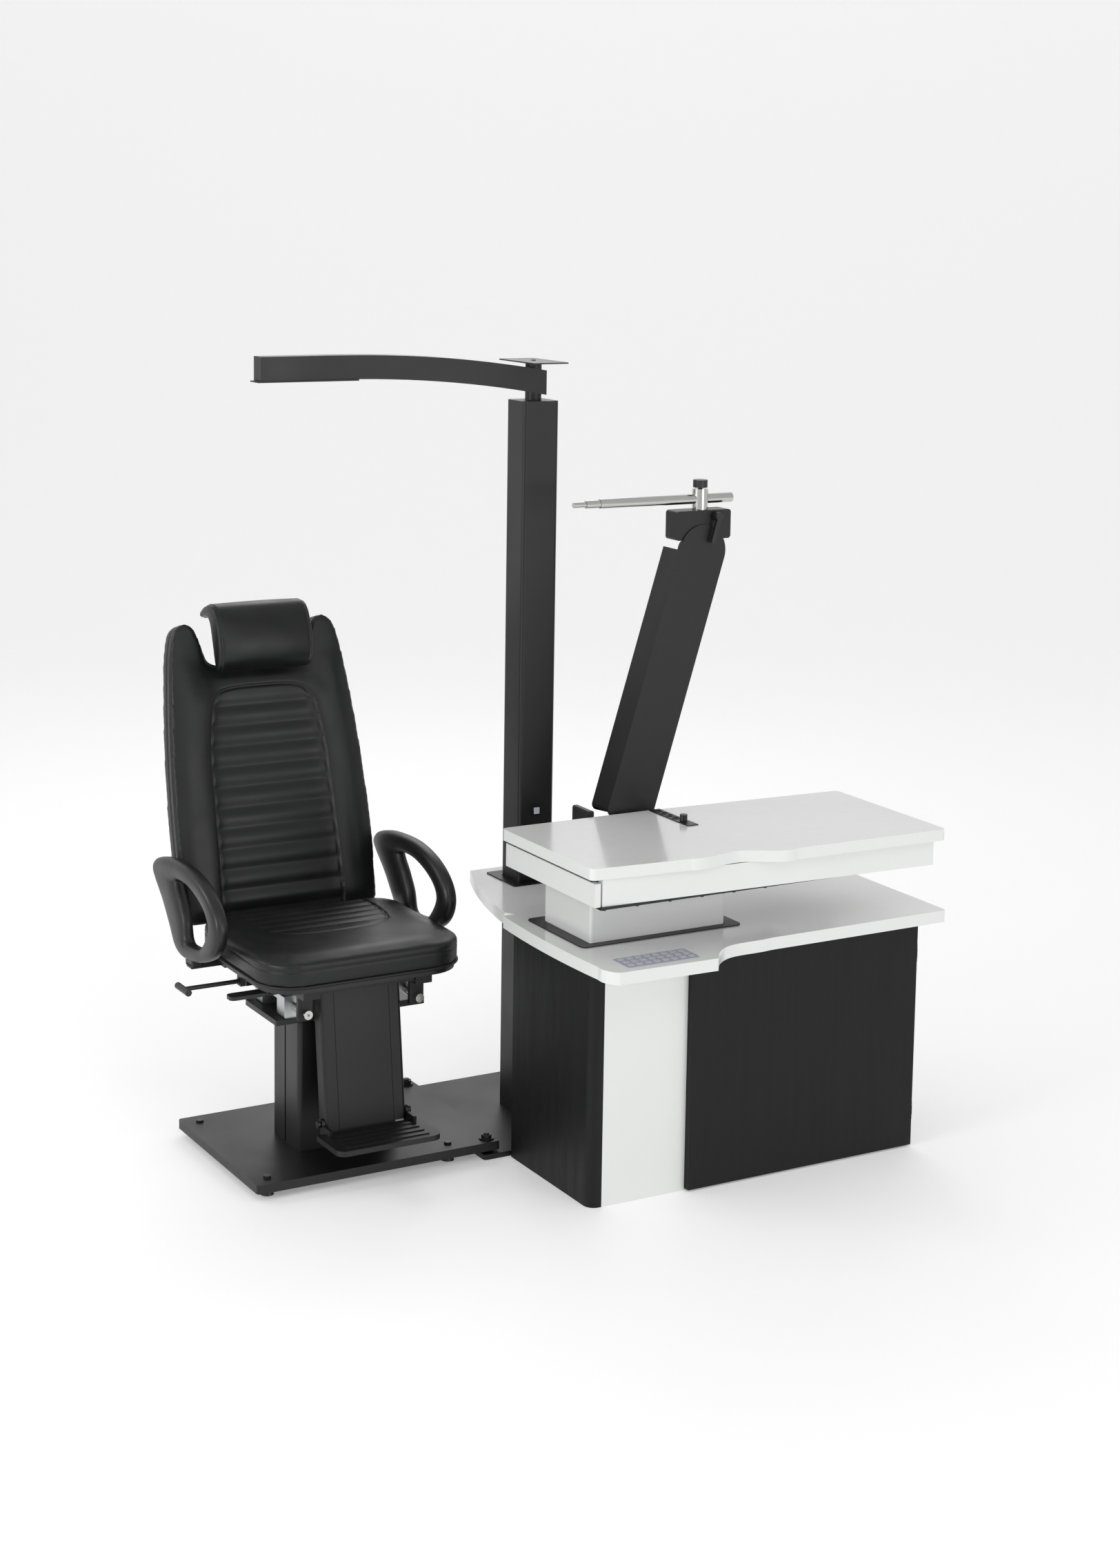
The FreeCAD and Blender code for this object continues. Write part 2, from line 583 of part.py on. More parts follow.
def levelling_link():
    """The thin link whose pivots stand off from the arm's by the same offset at both ends."""
    bar_part = box(-8, -256, 0, 16, 6, "arm_long")
    ends = [pin_y(0, z, 11, -256, -250) for z in (0, "arm_long")]
    bores = [pin_y(0, z, "link_pin + running_gap", -260, -245) for z in (0, "arm_long")]
    link = cut(join(bar_part, *ends), *bores)
    return tilted(link, size("arm_lean"), "arm_foot_across + link_across", 0,
                  "arm_foot_height - link_drop", axis="y")


def arm_head():
    lean = math.radians(size("arm_lean"))
    across = size("arm_foot_across") + size("arm_long") * math.sin(lean)
    height = size("arm_foot_height") + size("arm_long") * math.cos(lean)
    block = box("head_left", "arm_front + 3.4", "head_base", "head_right - head_left",
                "head_deep - 3.4", "head_top - head_base")
    block = rounded(block, 7, "y")
    lug = box(across - 36, -245, height - 24, 56, 10, size("head_base") + 10 - height + 24)
    eye = pin_y(across, height, 20, -245, -235)
    ear = pin_y(across - 26, height - 24, 10, -245, -235)
    pin = pin_y(across - 26, height - 24, "link_pin", -257, -240)
    socket = pin_y(across, height, "main_pin + running_gap", -250, -230)
    well = bar("barrel_across", "barrel_depth", 1400, "neck_radius + running_gap", 60)
    hole = pin_y("lever_across", "lever_height", "5 + running_gap", -270, -235)
    return cut(join(block, lug, eye, ear, pin), socket, well, hole)


def rod_parts():
    across, deep = "barrel_across", "barrel_depth"
    drum = bar(across, deep, "head_top + 0.3", "barrel_radius", "barrel_top - head_top - 0.3")
    neck = bar(across, deep, 1401, "neck_radius", 60)
    bore = bar(across + " - 30", deep, "rod_height", "rod_radius + running_gap", 60, "x")
    thread = bar(across, deep, "rod_height", "5 + running_gap", 40)
    node("rod_barrel", cut(join(drum, neck), bore, thread))

    grip = bar(across, deep, "barrel_top + 3", "barrel_radius - 1.5", 17)
    flutes = []
    for k in range(12):
        turn = math.radians(30 * k)
        flutes.append(bar("%s + %.3f" % (across, 18 * math.cos(turn)),
                          "%s + %.3f" % (deep, 18 * math.sin(turn)), "barrel_top + 2", 2.2, 19))
    screw = bar(across, deep, "rod_height + rod_radius + 0.5", 5, 20)
    node("clamp_knob", join(cut(grip, *flutes), screw))

    body = bar("rod_step", deep, "rod_height", "rod_radius", "rod_right - rod_step", "x")
    neck = bar("rod_neck", deep, "rod_height", "neck_radius", "rod_step - rod_neck", "x")
    tip = bar("rod_tip", deep, "rod_height", "tip_radius", "rod_neck - rod_tip", "x")
    hole = bar(268, deep, "rod_height - 20", 2, 40)
    node("phoropter_rod", cut(join(body, neck, tip), hole))

    boss = pin_y("lever_across", "lever_height", 10, -280, -262)
    pin = pin_y("lever_across", "lever_height", 5, -270, -238)
    grip = tilted(rounded(box(-5, -281, -62, 10, 8, 62), 3, "y"), 16, "lever_across", 0,
                  "lever_height", axis="y")
    node("clamp_lever", join(boss, pin, grip))


# ---- chair pedestal ----

def pedestal_parts():
    middle, half = "chair_middle", "column_half"
    deep = "column_back - column_front"
    base = size("plate_base") + size("plate_thick")
    outer = box(middle + " - " + half, "column_front", base, "2 * column_half", deep,
                "column_top - %g" % base)
    outer = rounded(outer, 10, where=lambda p: p.y < 0)
    inner = box(middle + " - column_half + column_wall", "column_front + column_wall", base + 8,
                "2 * column_half - 2 * column_wall", deep + " - 2 * column_wall", 400)
    grooves = mirrored_about_chair(lambda side: box(
        "%s + %d * (column_half - 1.5) - 3" % (middle, side), -29, base - 1, 6, 6, 400))
    node("chair_column_outer", cut(outer, inner, *grooves))
    ram = box(middle + " - column_half + 7", "column_front + 7", 60, "2 * column_half - 14",
              deep + " - 14", "carriage_base - 60")
    node("chair_column_inner", rounded(ram, 4))

    plate = rounded(box(middle + " - 180", -115, "carriage_base", 360, 175, 12), 6)
    tongue = box(middle + " - panel_half + 4.1", -158, "carriage_base", "2 * panel_half - 8.2", 60, 12)
    node("carriage_plate", join(plate, tongue))
    node("pedestal_front_panel", front_panel())

    blocks = []
    for side in (-1, 1):
        x = "%s + %d * shaft_across" % (middle, side)
        for front in (-110, 10):
            block = rounded(box(x + " - 25", front, "carriage_base + 12", 50, 40, 50), 4, "y")
            bore = bar(x, front - 5, "shaft_height", "shaft_radius + running_gap", 60, "y")
            blocks.append(cut(block, bore))
    node("slide_bearing_blocks", group(*blocks))
    node("footrest", footrest())
    bolts = []
    for side in (-1, 1):
        start = "panel_half" if side > 0 else "-panel_half - 15"
        head = "panel_half + 10" if side > 0 else "-panel_half - 15"
        shank = bar("%s + %s" % (middle, start), "step_depth", "step_height", 5, 15, "x")
        cap = bar("%s + %s" % (middle, head), "step_depth", "step_height", 8, 5, "x")
        bolts.append(join(shank, cap))
    node("footrest_bolts", group(*bolts))


def front_panel():
    """The leaning channel-shaped panel between the footrest and the seat."""
    sheet_part = box("-panel_half", 0, 0, "2 * panel_half", "panel_deep", "panel_long")
    sheet_part = rounded(sheet_part, 8, where=lambda p: p.y < 1)
    hollow = box("4 - panel_half", 4, -1, "2 * panel_half - 8", 60, "panel_long + 2")
    grooves = [box(x, -1, -1, 4, 2.2, "panel_long + 2") for x in (-68, 64)]
    panel = cut(sheet_part, hollow, *grooves)
    return tilted(panel, size("panel_lean"), "chair_middle", "panel_front", "panel_foot")


def footrest():
    middle = "chair_middle"
    tread = box(middle + " - tread_half", "tread_front", "tread_base", "2 * tread_half",
                "tread_back - tread_front", "tread_thick")
    front = size("tread_front") + 1
    tread = rounded(tread, 22, where=lambda p: p.y < front)
    ribs = [box(middle + " - tread_half + 26", "tread_front + %d" % (16 + 24 * k),
                "tread_base + tread_thick - 1", "2 * tread_half - 52", 8, 3.4) for k in range(4)]
    ears, bores = [], []
    for side in (-1, 1):
        left = "panel_half + 0.4" if side > 0 else "-panel_half - 7.4"
        x = "%s + %s" % (middle, left)
        ears.append(box(x, "tread_back - 25", "tread_base", 7, 50, "step_height - tread_base"))
        ears.append(bar(x, "step_depth", "step_height", 12, 7, "x"))
        bores.append(bar(x + " - 2", "step_depth", "step_height", "5 + running_gap", 12, "x"))
    return cut(join(tread, *ribs, *ears), *bores)


# ---- seat ----

def seat_parts():
    middle = "chair_middle"
    shafts = []
    for side in (-1, 1):
        x = "%s + %d * shaft_across" % (middle, side)
        shaft = bar(x, -182, "shaft_height", "shaft_radius", 312, "y")
        socket = bar(x, -183, "shaft_height", 3.5, 7, "y")
        shafts.append(cut(shaft, socket))
    node("slide_shafts", group(*shafts))
    node("seat_frame", seat_frame())

    pan = box(middle + " - seat_half + 8", "seat_front + 8", "pan_base", "2 * seat_half - 16",
              "seat_back - seat_front - 12", "pan_thick")
    node("seat_pan", seat_corners(pan, 82, 52))
    cushion = box(middle + " - seat_half", "seat_front", "pan_base + pan_thick", "2 * seat_half",
                  "seat_back - seat_front", "cushion_top - pan_base - pan_thick")
    cushion = seat_corners(cushion, 90, 60)
    node("seat_cushion", rounded_rim(cushion, "cushion_top", 18))


def seat_corners(piece, front_radius, back_radius):
    piece = rounded(piece, front_radius, where=lambda p: p.y < 0)
    return rounded(piece, back_radius, where=lambda p: p.y > 190)


def rounded_rim(base, level, radius):
    """Rounds every edge that lies in the plane at one height."""
    doc.recompute()
    height = size(level)
    edges = [(number, radius, radius) for number, edge in enumerate(base.Shape.Edges, 1)
             if abs(edge.BoundBox.ZMin - height) < 0.01 and abs(edge.BoundBox.ZMax - height) < 0.01]
    piece = doc.addObject("Part::Fillet", "Rim")
    piece.Base = base
    piece.Edges = edges
    return piece


def seat_frame():
    """Rails on the slide shafts, with lugs for the back, the levers and the arms."""
    middle, top = "chair_middle", "pan_base"
    parts, holes = [], []
    for side in (-1, 1):
        x = "%s + %d * shaft_across" % (middle, side)
        parts.append(box(x + " - 20", -200, top + " - 22", 40, 415, 22))
        for front in (-165, 120):
            parts.append(box(x + " - 17", front, 359, 34, 10, top + " - 22 - 359"))
            holes.append(bar(x, front - 2, "shaft_height", "shaft_radius", 14, "y"))
        lug = "%s + %d" % (middle, 126 if side > 0 else -142)
        parts.append(box(lug, 205, top + " - 22", 16, 32, 24))
        parts.append(box(lug, 205, "back_hinge_height - 12", 16, 32, 24))
        holes.append(bar(lug + " - 2", "back_hinge_depth", "back_hinge_height", "6 + running_gap", 20, "x"))
        guide = "%s + %d" % (middle, 152 if side > 0 else -215)
        parts.append(box(guide, 91, top + " - 18", 63, 38, 18))
        slot = "%s + %d" % (middle, 156 if side > 0 else -217)
        holes.append(box(slot, 94.9, 423.9, 61, 30.2, 10.2))
        knob = "%s + %d" % (middle, 185 * side)
        parts.append(bar(knob, 110, 406, 7, 13))
    for front in (-195, -5, 175):
        parts.append(box(middle + " - 134", front, top + " - 14", 268, 30, 14))
    parts.append(box(middle + " - 215", -5, top + " - 12", 70, 30, 12))
    parts.append(box(middle + " - 215", 0, 400, 12, 20, top + " - 400"))
    holes.append(bar(middle + " - 220", 10, 410, "5 + running_gap", 22, "x"))
    parts.append(box(middle + " - 200", -113, top + " - 12", 60, 46, 12))
    for front in (-113, -71):
        parts.append(box(middle + " - 193", front, 409, 16, 4, top + " - 409"))
    holes.append(bar(middle + " - 185", -115, 416, "4 + running_gap", 50, "y"))
    return cut(join(*parts), *holes)


def lever_parts():
    middle = "chair_middle"
    rod = bar(middle + " - 345", 10, 410, 5, 143, "x")
    grip = bar(middle + " - 345", -22, 410, 7.5, 64, "y")
    stop = bar(middle + " - 217.5", 10, 410, 8, 2, "x")
    node("recline_lever", join(rod, grip, stop))
    paddle = rounded(box(middle + " - 282", -106.5, 406, 90, 33, 8), 12)
    web = box(middle + " - 200", -106.5, 408, 15, 33, 8)
    hub = bar(middle + " - 185", -108.5, 416, 6.5, 37, "y")
    pin = bar(middle + " - 185", -114, 416, 4, 48, "y")
    node("slide_lever", join(paddle, web, hub, pin))


def armrest(side):
    """A closed loop of moulded rubbery plastic on a flat bar that slides under the seat."""
    outer = points((344, 600), (328, 620), (290, 634), (225, 644), (120, 645), (30, 625), (-30, 590),
                   (-54, 548), (-42, 505), (-5, 473), (50, 450), (110, 438), (165, 437), (205, 452),
                   (240, 492), (282, 538), (328, 578), axis="x")
    inner = points((200, 600), (120, 605), (40, 580), (5, 545), (30, 500), (60, 480), (120, 472),
                   (140, 480), (150, 520), (175, 560), axis="x")
    thick = size("rest_thick")
    start = size("chair_middle") + (size("rest_inner") if side > 0 else -size("rest_inner") - thick)
    shapes = [slab([curve(spots, True)], (thick, 0, 0)) for spots in (outer, inner)]
    loop = solid(shapes[0].cut(shapes[1]))
    loop.Placement.Base.x = start
    doc.recompute()
    edges = [(n, 8, 8) for n, edge in enumerate(loop.Shape.Edges, 1)
             if edge.BoundBox.XLength < 0.1]
    soft = doc.addObject("Part::Fillet", "Soft")
    soft.Base = loop
    soft.Edges = edges
    low = "chair_middle + %g" % (158 if side > 0 else -290)
    tongue = box(low, 95, 424, 132, 30, 10)
    foot = box("chair_middle + %g" % (264 if side > 0 else -292), 95, 424, 28, 30, 22)
    return join(soft, tongue, foot)


# ---- backrest ----

def set_back(piece):
    """Leans a piece that was built upright on the backrest's foot, then moves it there."""
    return tilted(piece, size("back_lean"), "chair_middle", "back_foot_depth", "back_foot_height")


def backrest_parts():
    right = points((236, 0), (243, 155), (240, 274), (222, 471), (201, 595), (192, 650), (182, 672),
                   (165, 683), axis="y")
    left = [FreeCAD.Vector(-p.x, 0, p.z) for p in right]
    notch = points((148, 683), (118, 585), (-118, 585), (-148, 683), axis="y")
    edges = [Part.makeLine(left[0], right[0]), curve(right[:6]), arc(*right[5:])]
    edges += chain(right[-1], *notch, left[-1]) + [arc(*left[:4:-1]), curve(left[:6])]
    pad = solid(slab(edges, (0, size("back_thick"), 0)))
    doc.recompute()
    rim = [(n, 12, 12) for n, edge in enumerate(pad.Shape.Edges, 1)
           if edge.BoundBox.YMax < 0.01 and abs(edge.CenterOfMass.x) > 160]
    soft = doc.addObject("Part::Fillet", "Soft")
    soft.Base = pad
    soft.Edges = rim
    slot = box(-15.3, 27.7, 400, 30.6, 6.6, 200)
    node("backrest_cushion", set_back(cut(soft, slot)))

    plate = rounded(box(-112, "back_thick + 0.3", -68, 224, 6, 400), 12, "y")
    arms = []
    lean = math.radians(-size("back_lean"))
    depth = size("back_hinge_depth") - size("back_foot_depth")
    drop = size("back_hinge_height") - size("back_foot_height")
    hinge = (depth * math.cos(lean) - drop * math.sin(lean), depth * math.sin(lean) + drop * math.cos(lean))
    for side in (-1, 1):
        left_edge = 104 if side > 0 else -112
        arms.append(box(left_edge, -16, -68, 8, "back_thick + 22", 24))
        pin = 110 if side > 0 else -143
        arms.append(bar(pin, hinge[0], hinge[1], 6, 33, "x"))
    node("backrest_bracket", set_back(join(plate, *arms)))

    face = rounded(box(-121, -58, 568, 242, 56, 167), 14, "y")
    hook = rounded(box(-110, -8, 695, 220, 68, 40), 8, "x")
    stem = box(-15, 28, 430, 30, 6, 270)
    node("headrest", set_back(join(face, hook, stem)))


floor_parts()
post_parts()
lamp_parts()
cabinet_parts()
lower_worktop_parts()
table_parts()
drawer_parts()
phoropter_arm_parts()
rod_parts()
pedestal_parts()
seat_parts()
lever_parts()
for name, way in (("armrest_left", -1), ("armrest_right", 1)):
    node(name, armrest(way))
backrest_parts()

doc.recompute()
for piece in doc.Objects:
    if "Invalid" in piece.State or "Error" in piece.State:
        raise RuntimeError("%s could not be made" % piece.Label)
os.makedirs("parts", exist_ok=True)
for piece in NODES:
    if piece.Shape.isNull() or not piece.Shape.isValid():
        raise RuntimeError("%s has no valid solid" % piece.Label)
    piece.Shape.exportStep("parts/%s.step" % piece.Label)
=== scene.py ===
import json
import math
import bmesh
import bpy
import numpy as np
from mathutils import Matrix, Vector, bvhtree, kdtree


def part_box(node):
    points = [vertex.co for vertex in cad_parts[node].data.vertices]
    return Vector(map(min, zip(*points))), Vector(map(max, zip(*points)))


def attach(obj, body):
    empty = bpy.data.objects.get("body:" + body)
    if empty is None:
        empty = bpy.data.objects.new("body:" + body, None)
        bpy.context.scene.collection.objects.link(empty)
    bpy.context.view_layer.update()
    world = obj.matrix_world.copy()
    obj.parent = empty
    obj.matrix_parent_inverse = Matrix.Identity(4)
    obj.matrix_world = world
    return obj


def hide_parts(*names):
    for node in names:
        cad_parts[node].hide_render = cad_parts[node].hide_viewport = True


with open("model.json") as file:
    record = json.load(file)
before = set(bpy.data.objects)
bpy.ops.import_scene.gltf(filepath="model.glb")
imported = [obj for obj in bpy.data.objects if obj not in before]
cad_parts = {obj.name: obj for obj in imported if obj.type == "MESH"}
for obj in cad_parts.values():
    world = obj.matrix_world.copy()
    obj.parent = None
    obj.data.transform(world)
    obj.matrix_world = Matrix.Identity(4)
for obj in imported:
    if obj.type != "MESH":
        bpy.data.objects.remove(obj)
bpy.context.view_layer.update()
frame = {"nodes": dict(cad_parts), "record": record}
MM = 0.001
SCENE = bpy.context.scene


# ---- materials ----

def shader(name, colour, roughness, metallic=0.0, **sockets):
    """A material whose plain values sit on the shader's own sockets."""
    mat = bpy.data.materials.new(name)
    mat.use_nodes = True
    surface = mat.node_tree.nodes["Principled BSDF"]
    surface.inputs["Base Color"].default_value = (*colour, 1)
    surface.inputs["Roughness"].default_value = roughness
    surface.inputs["Metallic"].default_value = metallic
    for socket, value in sockets.items():
        surface.inputs[socket.replace("_", " ")].default_value = value
    return mat


def texture(mat, kind, scale, stretch=(1, 1, 1), **settings):
    """A procedural texture in object coordinates, and its output value."""
    nodes, links = mat.node_tree.nodes, mat.node_tree.links
    where = nodes.new("ShaderNodeTexCoord")
    mapping = nodes.new("ShaderNodeMapping")
    mapping.inputs["Scale"].default_value = stretch
    pattern = nodes.new(kind)
    pattern.inputs["Scale"].default_value = scale
    for socket, value in settings.items():
        pattern.inputs[socket].default_value = value
    links.new(where.outputs["Object"], mapping.inputs["Vector"])
    links.new(mapping.outputs["Vector"], pattern.inputs["Vector"])
    return pattern.outputs["Distance" if kind == "ShaderNodeTexVoronoi" else 0]


def spread(mat, value, low, high, to_low, to_high):
    """Maps a texture value from one range to another."""
    ramp = mat.node_tree.nodes.new("ShaderNodeMapRange")
    for socket, number in zip(("From Min", "From Max", "To Min", "To Max"), (low, high, to_low, to_high)):
        ramp.inputs[socket].default_value = number
    mat.node_tree.links.new(value, ramp.inputs["Value"])
    return ramp.outputs["Result"]


def vary_roughness(mat, value, low, high):
    """Lets a texture move the roughness between two values."""
    result = spread(mat, value, 0.3, 0.7, low, high)
    surface = mat.node_tree.nodes["Principled BSDF"]
    mat.node_tree.links.new(result, surface.inputs["Roughness"])


def vary_colour(mat, value, first, second):
    """Lets a texture move the base colour between two colours."""
    mix = mat.node_tree.nodes.new("ShaderNodeMix")
    mix.data_type = "RGBA"
    mix.inputs["A"].default_value = (*first, 1)
    mix.inputs["B"].default_value = (*second, 1)
    links = mat.node_tree.links
    links.new(spread(mat, value, 0.3, 0.7, 0, 1), mix.inputs["Factor"])
    surface = mat.node_tree.nodes["Principled BSDF"]
    links.new(mix.outputs["Result"], surface.inputs["Base Color"])


def rough_up(mat, value, depth, strength):
    """Adds one layer of fine relief, in metres, over any that the material already has."""
    nodes, links = mat.node_tree.nodes, mat.node_tree.links
    surface = nodes["Principled BSDF"]
    bump = nodes.new("ShaderNodeBump")
    bump.inputs["Strength"].default_value = strength
    bump.inputs["Distance"].default_value = depth
    links.new(value, bump.inputs["Height"])
    below = surface.inputs["Normal"].links
    if below:
        links.new(below[0].from_socket, bump.inputs["Normal"])
    links.new(bump.outputs["Normal"], surface.inputs["Normal"])


def powder_coat(name, colour, roughness):
    """Baked paint: a fine orange-peel skin with slightly uneven gloss."""
    mat = shader(name, colour, roughness, Specular_IOR_Level=0.45)
    peel = texture(mat, "ShaderNodeTexNoise", 900, Detail=2.0)
    cloud = texture(mat, "ShaderNodeTexNoise", 5, Detail=4.0)
    rough_up(mat, peel, 0.00025, 0.35)
    vary_roughness(mat, cloud, roughness - 0.05, roughness + 0.07)
    lighter = tuple(c * 1.35 for c in colour)
    vary_colour(mat, cloud, colour, lighter)
    return mat


def laminate(name, colour, roughness, grain):
    """Board facing, with a faint run of grain along Z and tiny pores."""
    mat = shader(name, colour, roughness, Specular_IOR_Level=0.25)
    streak = texture(mat, "ShaderNodeTexNoise", 60, (1, 1, 0.06), Detail=5.0)
    pores = texture(mat, "ShaderNodeTexNoise", 1400, Detail=1.0)
    rough_up(mat, streak, 0.0002, grain)
    rough_up(mat, pores, 0.0001, grain)
    vary_roughness(mat, streak, roughness - 0.06, roughness + 0.06)
    return mat


def lacquer(name, colour):
    """Gloss white facing with a very soft waviness."""
    mat = shader(name, colour, 0.16, Specular_IOR_Level=0.5, Coat_Weight=0.25, Coat_Roughness=0.08)
    wave = texture(mat, "ShaderNodeTexNoise", 9, Detail=2.0)
    dust = texture(mat, "ShaderNodeTexNoise", 40, Detail=6.0)
    rough_up(mat, wave, 0.0006, 0.06)
    vary_roughness(mat, dust, 0.13, 0.22)
    return mat


def leather(name, colour):
    """Coated hide: small pebbles, soft creases and a dull to satin gloss."""
    mat = shader(name, colour, 0.42, Specular_IOR_Level=0.4)
    pebble = texture(mat, "ShaderNodeTexVoronoi", 760)
    cloud = texture(mat, "ShaderNodeTexNoise", 11, Detail=6.0)
    crease = texture(mat, "ShaderNodeTexNoise", 34, Detail=8.0, Distortion=0.6)
    rough_up(mat, crease, 0.0009, 0.16)
    rough_up(mat, pebble, 0.00022, 0.55)
    vary_roughness(mat, cloud, 0.34, 0.47)
    vary_colour(mat, cloud, colour, tuple(c * 1.5 for c in colour))
    return mat


def moulded(name, colour, roughness, bump=0.3):
    """Plastic or rubber with a fine moulded skin."""
    mat = shader(name, colour, roughness, Specular_IOR_Level=0.5)
    skin = texture(mat, "ShaderNodeTexNoise", 1300, Detail=1.0)
    cloud = texture(mat, "ShaderNodeTexNoise", 14, Detail=3.0)
    rough_up(mat, skin, 0.0002, bump)
    vary_roughness(mat, cloud, roughness - 0.05, roughness + 0.06)
    return mat


def metal(name, colour, roughness, stretch, streaks=0.12):
    """Bare metal, with faint machining lines along the axis that the stretch shortens."""
    mat = shader(name, colour, roughness, metallic=1.0)
    lines = texture(mat, "ShaderNodeTexNoise", 300, stretch, Detail=4.0)
    smudge = texture(mat, "ShaderNodeTexNoise", 18, Detail=4.0)
    rough_up(mat, lines, 0.0001, streaks)
    vary_roughness(mat, smudge, roughness * 0.8, roughness * 1.3)
    return mat


BLACK = (0.0036, 0.0041, 0.0036)
MATS = {
    "black_enamel": powder_coat("black_enamel", BLACK, 0.42),
    "black_fastener": powder_coat("black_fastener", (0.011, 0.011, 0.011), 0.35),
    "black_laminate": laminate("black_laminate", (0.0048, 0.0056, 0.0050), 0.5, 0.07),
    "white_lacquer": lacquer("white_lacquer", (0.76, 0.77, 0.76)),
    "white_board": laminate("white_board", (0.72, 0.72, 0.71), 0.4, 0.1),
    "black_plastic": moulded("black_plastic", (0.010, 0.010, 0.011), 0.38),
    "arm_pad_rubber": moulded("arm_pad_rubber", (0.0085, 0.0085, 0.009), 0.4, 0.22),
    "zinc_steel": metal("zinc_steel", (0.42, 0.42, 0.43), 0.32, (1, 1, 0.1)),
    "bearing_aluminium": metal("bearing_aluminium", (0.50, 0.51, 0.52), 0.34, (1, 0.1, 1)),
    "chrome": metal("chrome", (0.56, 0.56, 0.54), 0.14, (0.05, 1, 1), 0.05),
    "grey_film": moulded("grey_film", (0.36, 0.36, 0.44), 0.3, 0.1),
    "diffuser": moulded("diffuser", (0.78, 0.8, 0.79), 0.3, 0.1),
    "black_leather": leather("black_leather", (0.0048, 0.0051, 0.0052)),
}
THREAD = moulded("thread", (0.018, 0.018, 0.019), 0.5, 0.5)
KEY = moulded("key", (0.52, 0.52, 0.60), 0.28, 0.1)
# Near-black for the clamp bolts' hex drives: painted shade in place of the shade inside each recessed socket.
DRIVE_PAINTED_SHADE = moulded("drive_painted_shade", (0.004, 0.004, 0.004), 0.5)


def dress(obj, mat):
    """Gives every slot of an object the same material."""
    if not obj.data.materials:
        obj.data.materials.append(mat)
    for place in obj.material_slots:
        place.material = mat


# How far each boxy node's edges are rounded, in millimetres.
EDGES = {"lower_worktop": 1.6, "table_top": 1.6, "drawer_front": 1.0, "table_apron": 1.0, "cabinet_door": 0.9,
         "cabinet_left_side": 0.7, "cabinet_right_side": 0.7, "cabinet_front_panel": 0.7,
         "chair_base_plate": 1.2, "column_floor_plate": 1.0, "lamp_arm": 1.0, "arm_side_cover": 0.8,
         "arm_front_plate": 0.8, "lift_housing": 0.8, "footrest": 1.0, "pedestal_front_panel": 0.8,
         "arm_head": 1.0, "slide_bearing_blocks": 0.8, "seat_frame": 0.6, "projector_plate": 0.5,
         "arm_pedestal": 0.8, "carriage_plate": 0.8, "backrest_bracket": 0.8}
SLOTS = {part["node"]: part["material_slot"] for part in frame["record"]["subparts"]}
for name, obj in frame["nodes"].items():
    dress(obj, MATS[SLOTS[name]])
    if name in EDGES:
        soften = obj.modifiers.new("Edge", "BEVEL")
        soften.width = EDGES[name] * MM
        soften.segments = 2
        soften.limit_method = "ANGLE"
        soften.angle_limit = math.radians(50)


# ---- mesh helpers ----

STEP = 2 * MM
VOXEL = 5 * MM
PRESSURE = 4.0
CLOTH_FRAMES = 20
EVENING_ROUNDS = 30


def made(name, points, faces, mat, smooth=True):
    """A new mesh object from points and faces."""
    mesh = bpy.data.meshes.new(name)
    mesh.from_pydata([tuple(p) for p in points], [], faces)
    mesh.validate()
    obj = bpy.data.objects.new(name, mesh)
    SCENE.collection.objects.link(obj)
    for face in mesh.polygons:
        face.use_smooth = smooth
    dress(obj, mat)
    return obj


def settle(obj):
    """Turns the modifiers' result into the object's own mesh."""
    graph = bpy.context.evaluated_depsgraph_get()
    mesh = bpy.data.meshes.new_from_object(obj.evaluated_get(graph))
    obj.modifiers.clear()
    obj.data = mesh
    for face in mesh.polygons:
        face.use_smooth = True
    return obj


def refine(obj, smoothing, voxel=None, levels=0):
    """Remeshes, smooths or subdivides a mesh and keeps the result."""
    if voxel:
        again = obj.modifiers.new("Remesh", "REMESH")
        again.mode = "VOXEL"
        again.voxel_size = voxel
    relax = obj.modifiers.new("Smooth", "SMOOTH")
    relax.iterations = smoothing
    if levels:
        finer = obj.modifiers.new("Finer", "SUBSURF")
        finer.levels = finer.render_levels = levels
    return settle(obj)


def extruded(name, outline, low, high, mat, to_world):
    """A closed solid between two copies of an outline of (a, b) pairs, at depths low and high."""
    count = len(outline)
    points = [to_world(a, b, low) for a, b in outline] + [to_world(a, b, high) for a, b in outline]
    shape = bmesh.new()
    verts = [shape.verts.new(p) for p in points]
    caps = [shape.faces.new(verts[:count]), shape.faces.new(verts[count:][::-1])]
    for i in range(count):
        j = (i + 1) % count
        shape.faces.new((verts[j], verts[i], verts[count + i], verts[count + j]))
    bmesh.ops.triangulate(shape, faces=caps)
    bmesh.ops.recalc_face_normals(shape, faces=shape.faces)
    mesh = bpy.data.meshes.new(name)
    shape.to_mesh(mesh)
    shape.free()
    obj = bpy.data.objects.new(name, mesh)
    SCENE.collection.objects.link(obj)
    dress(obj, mat)
    return obj


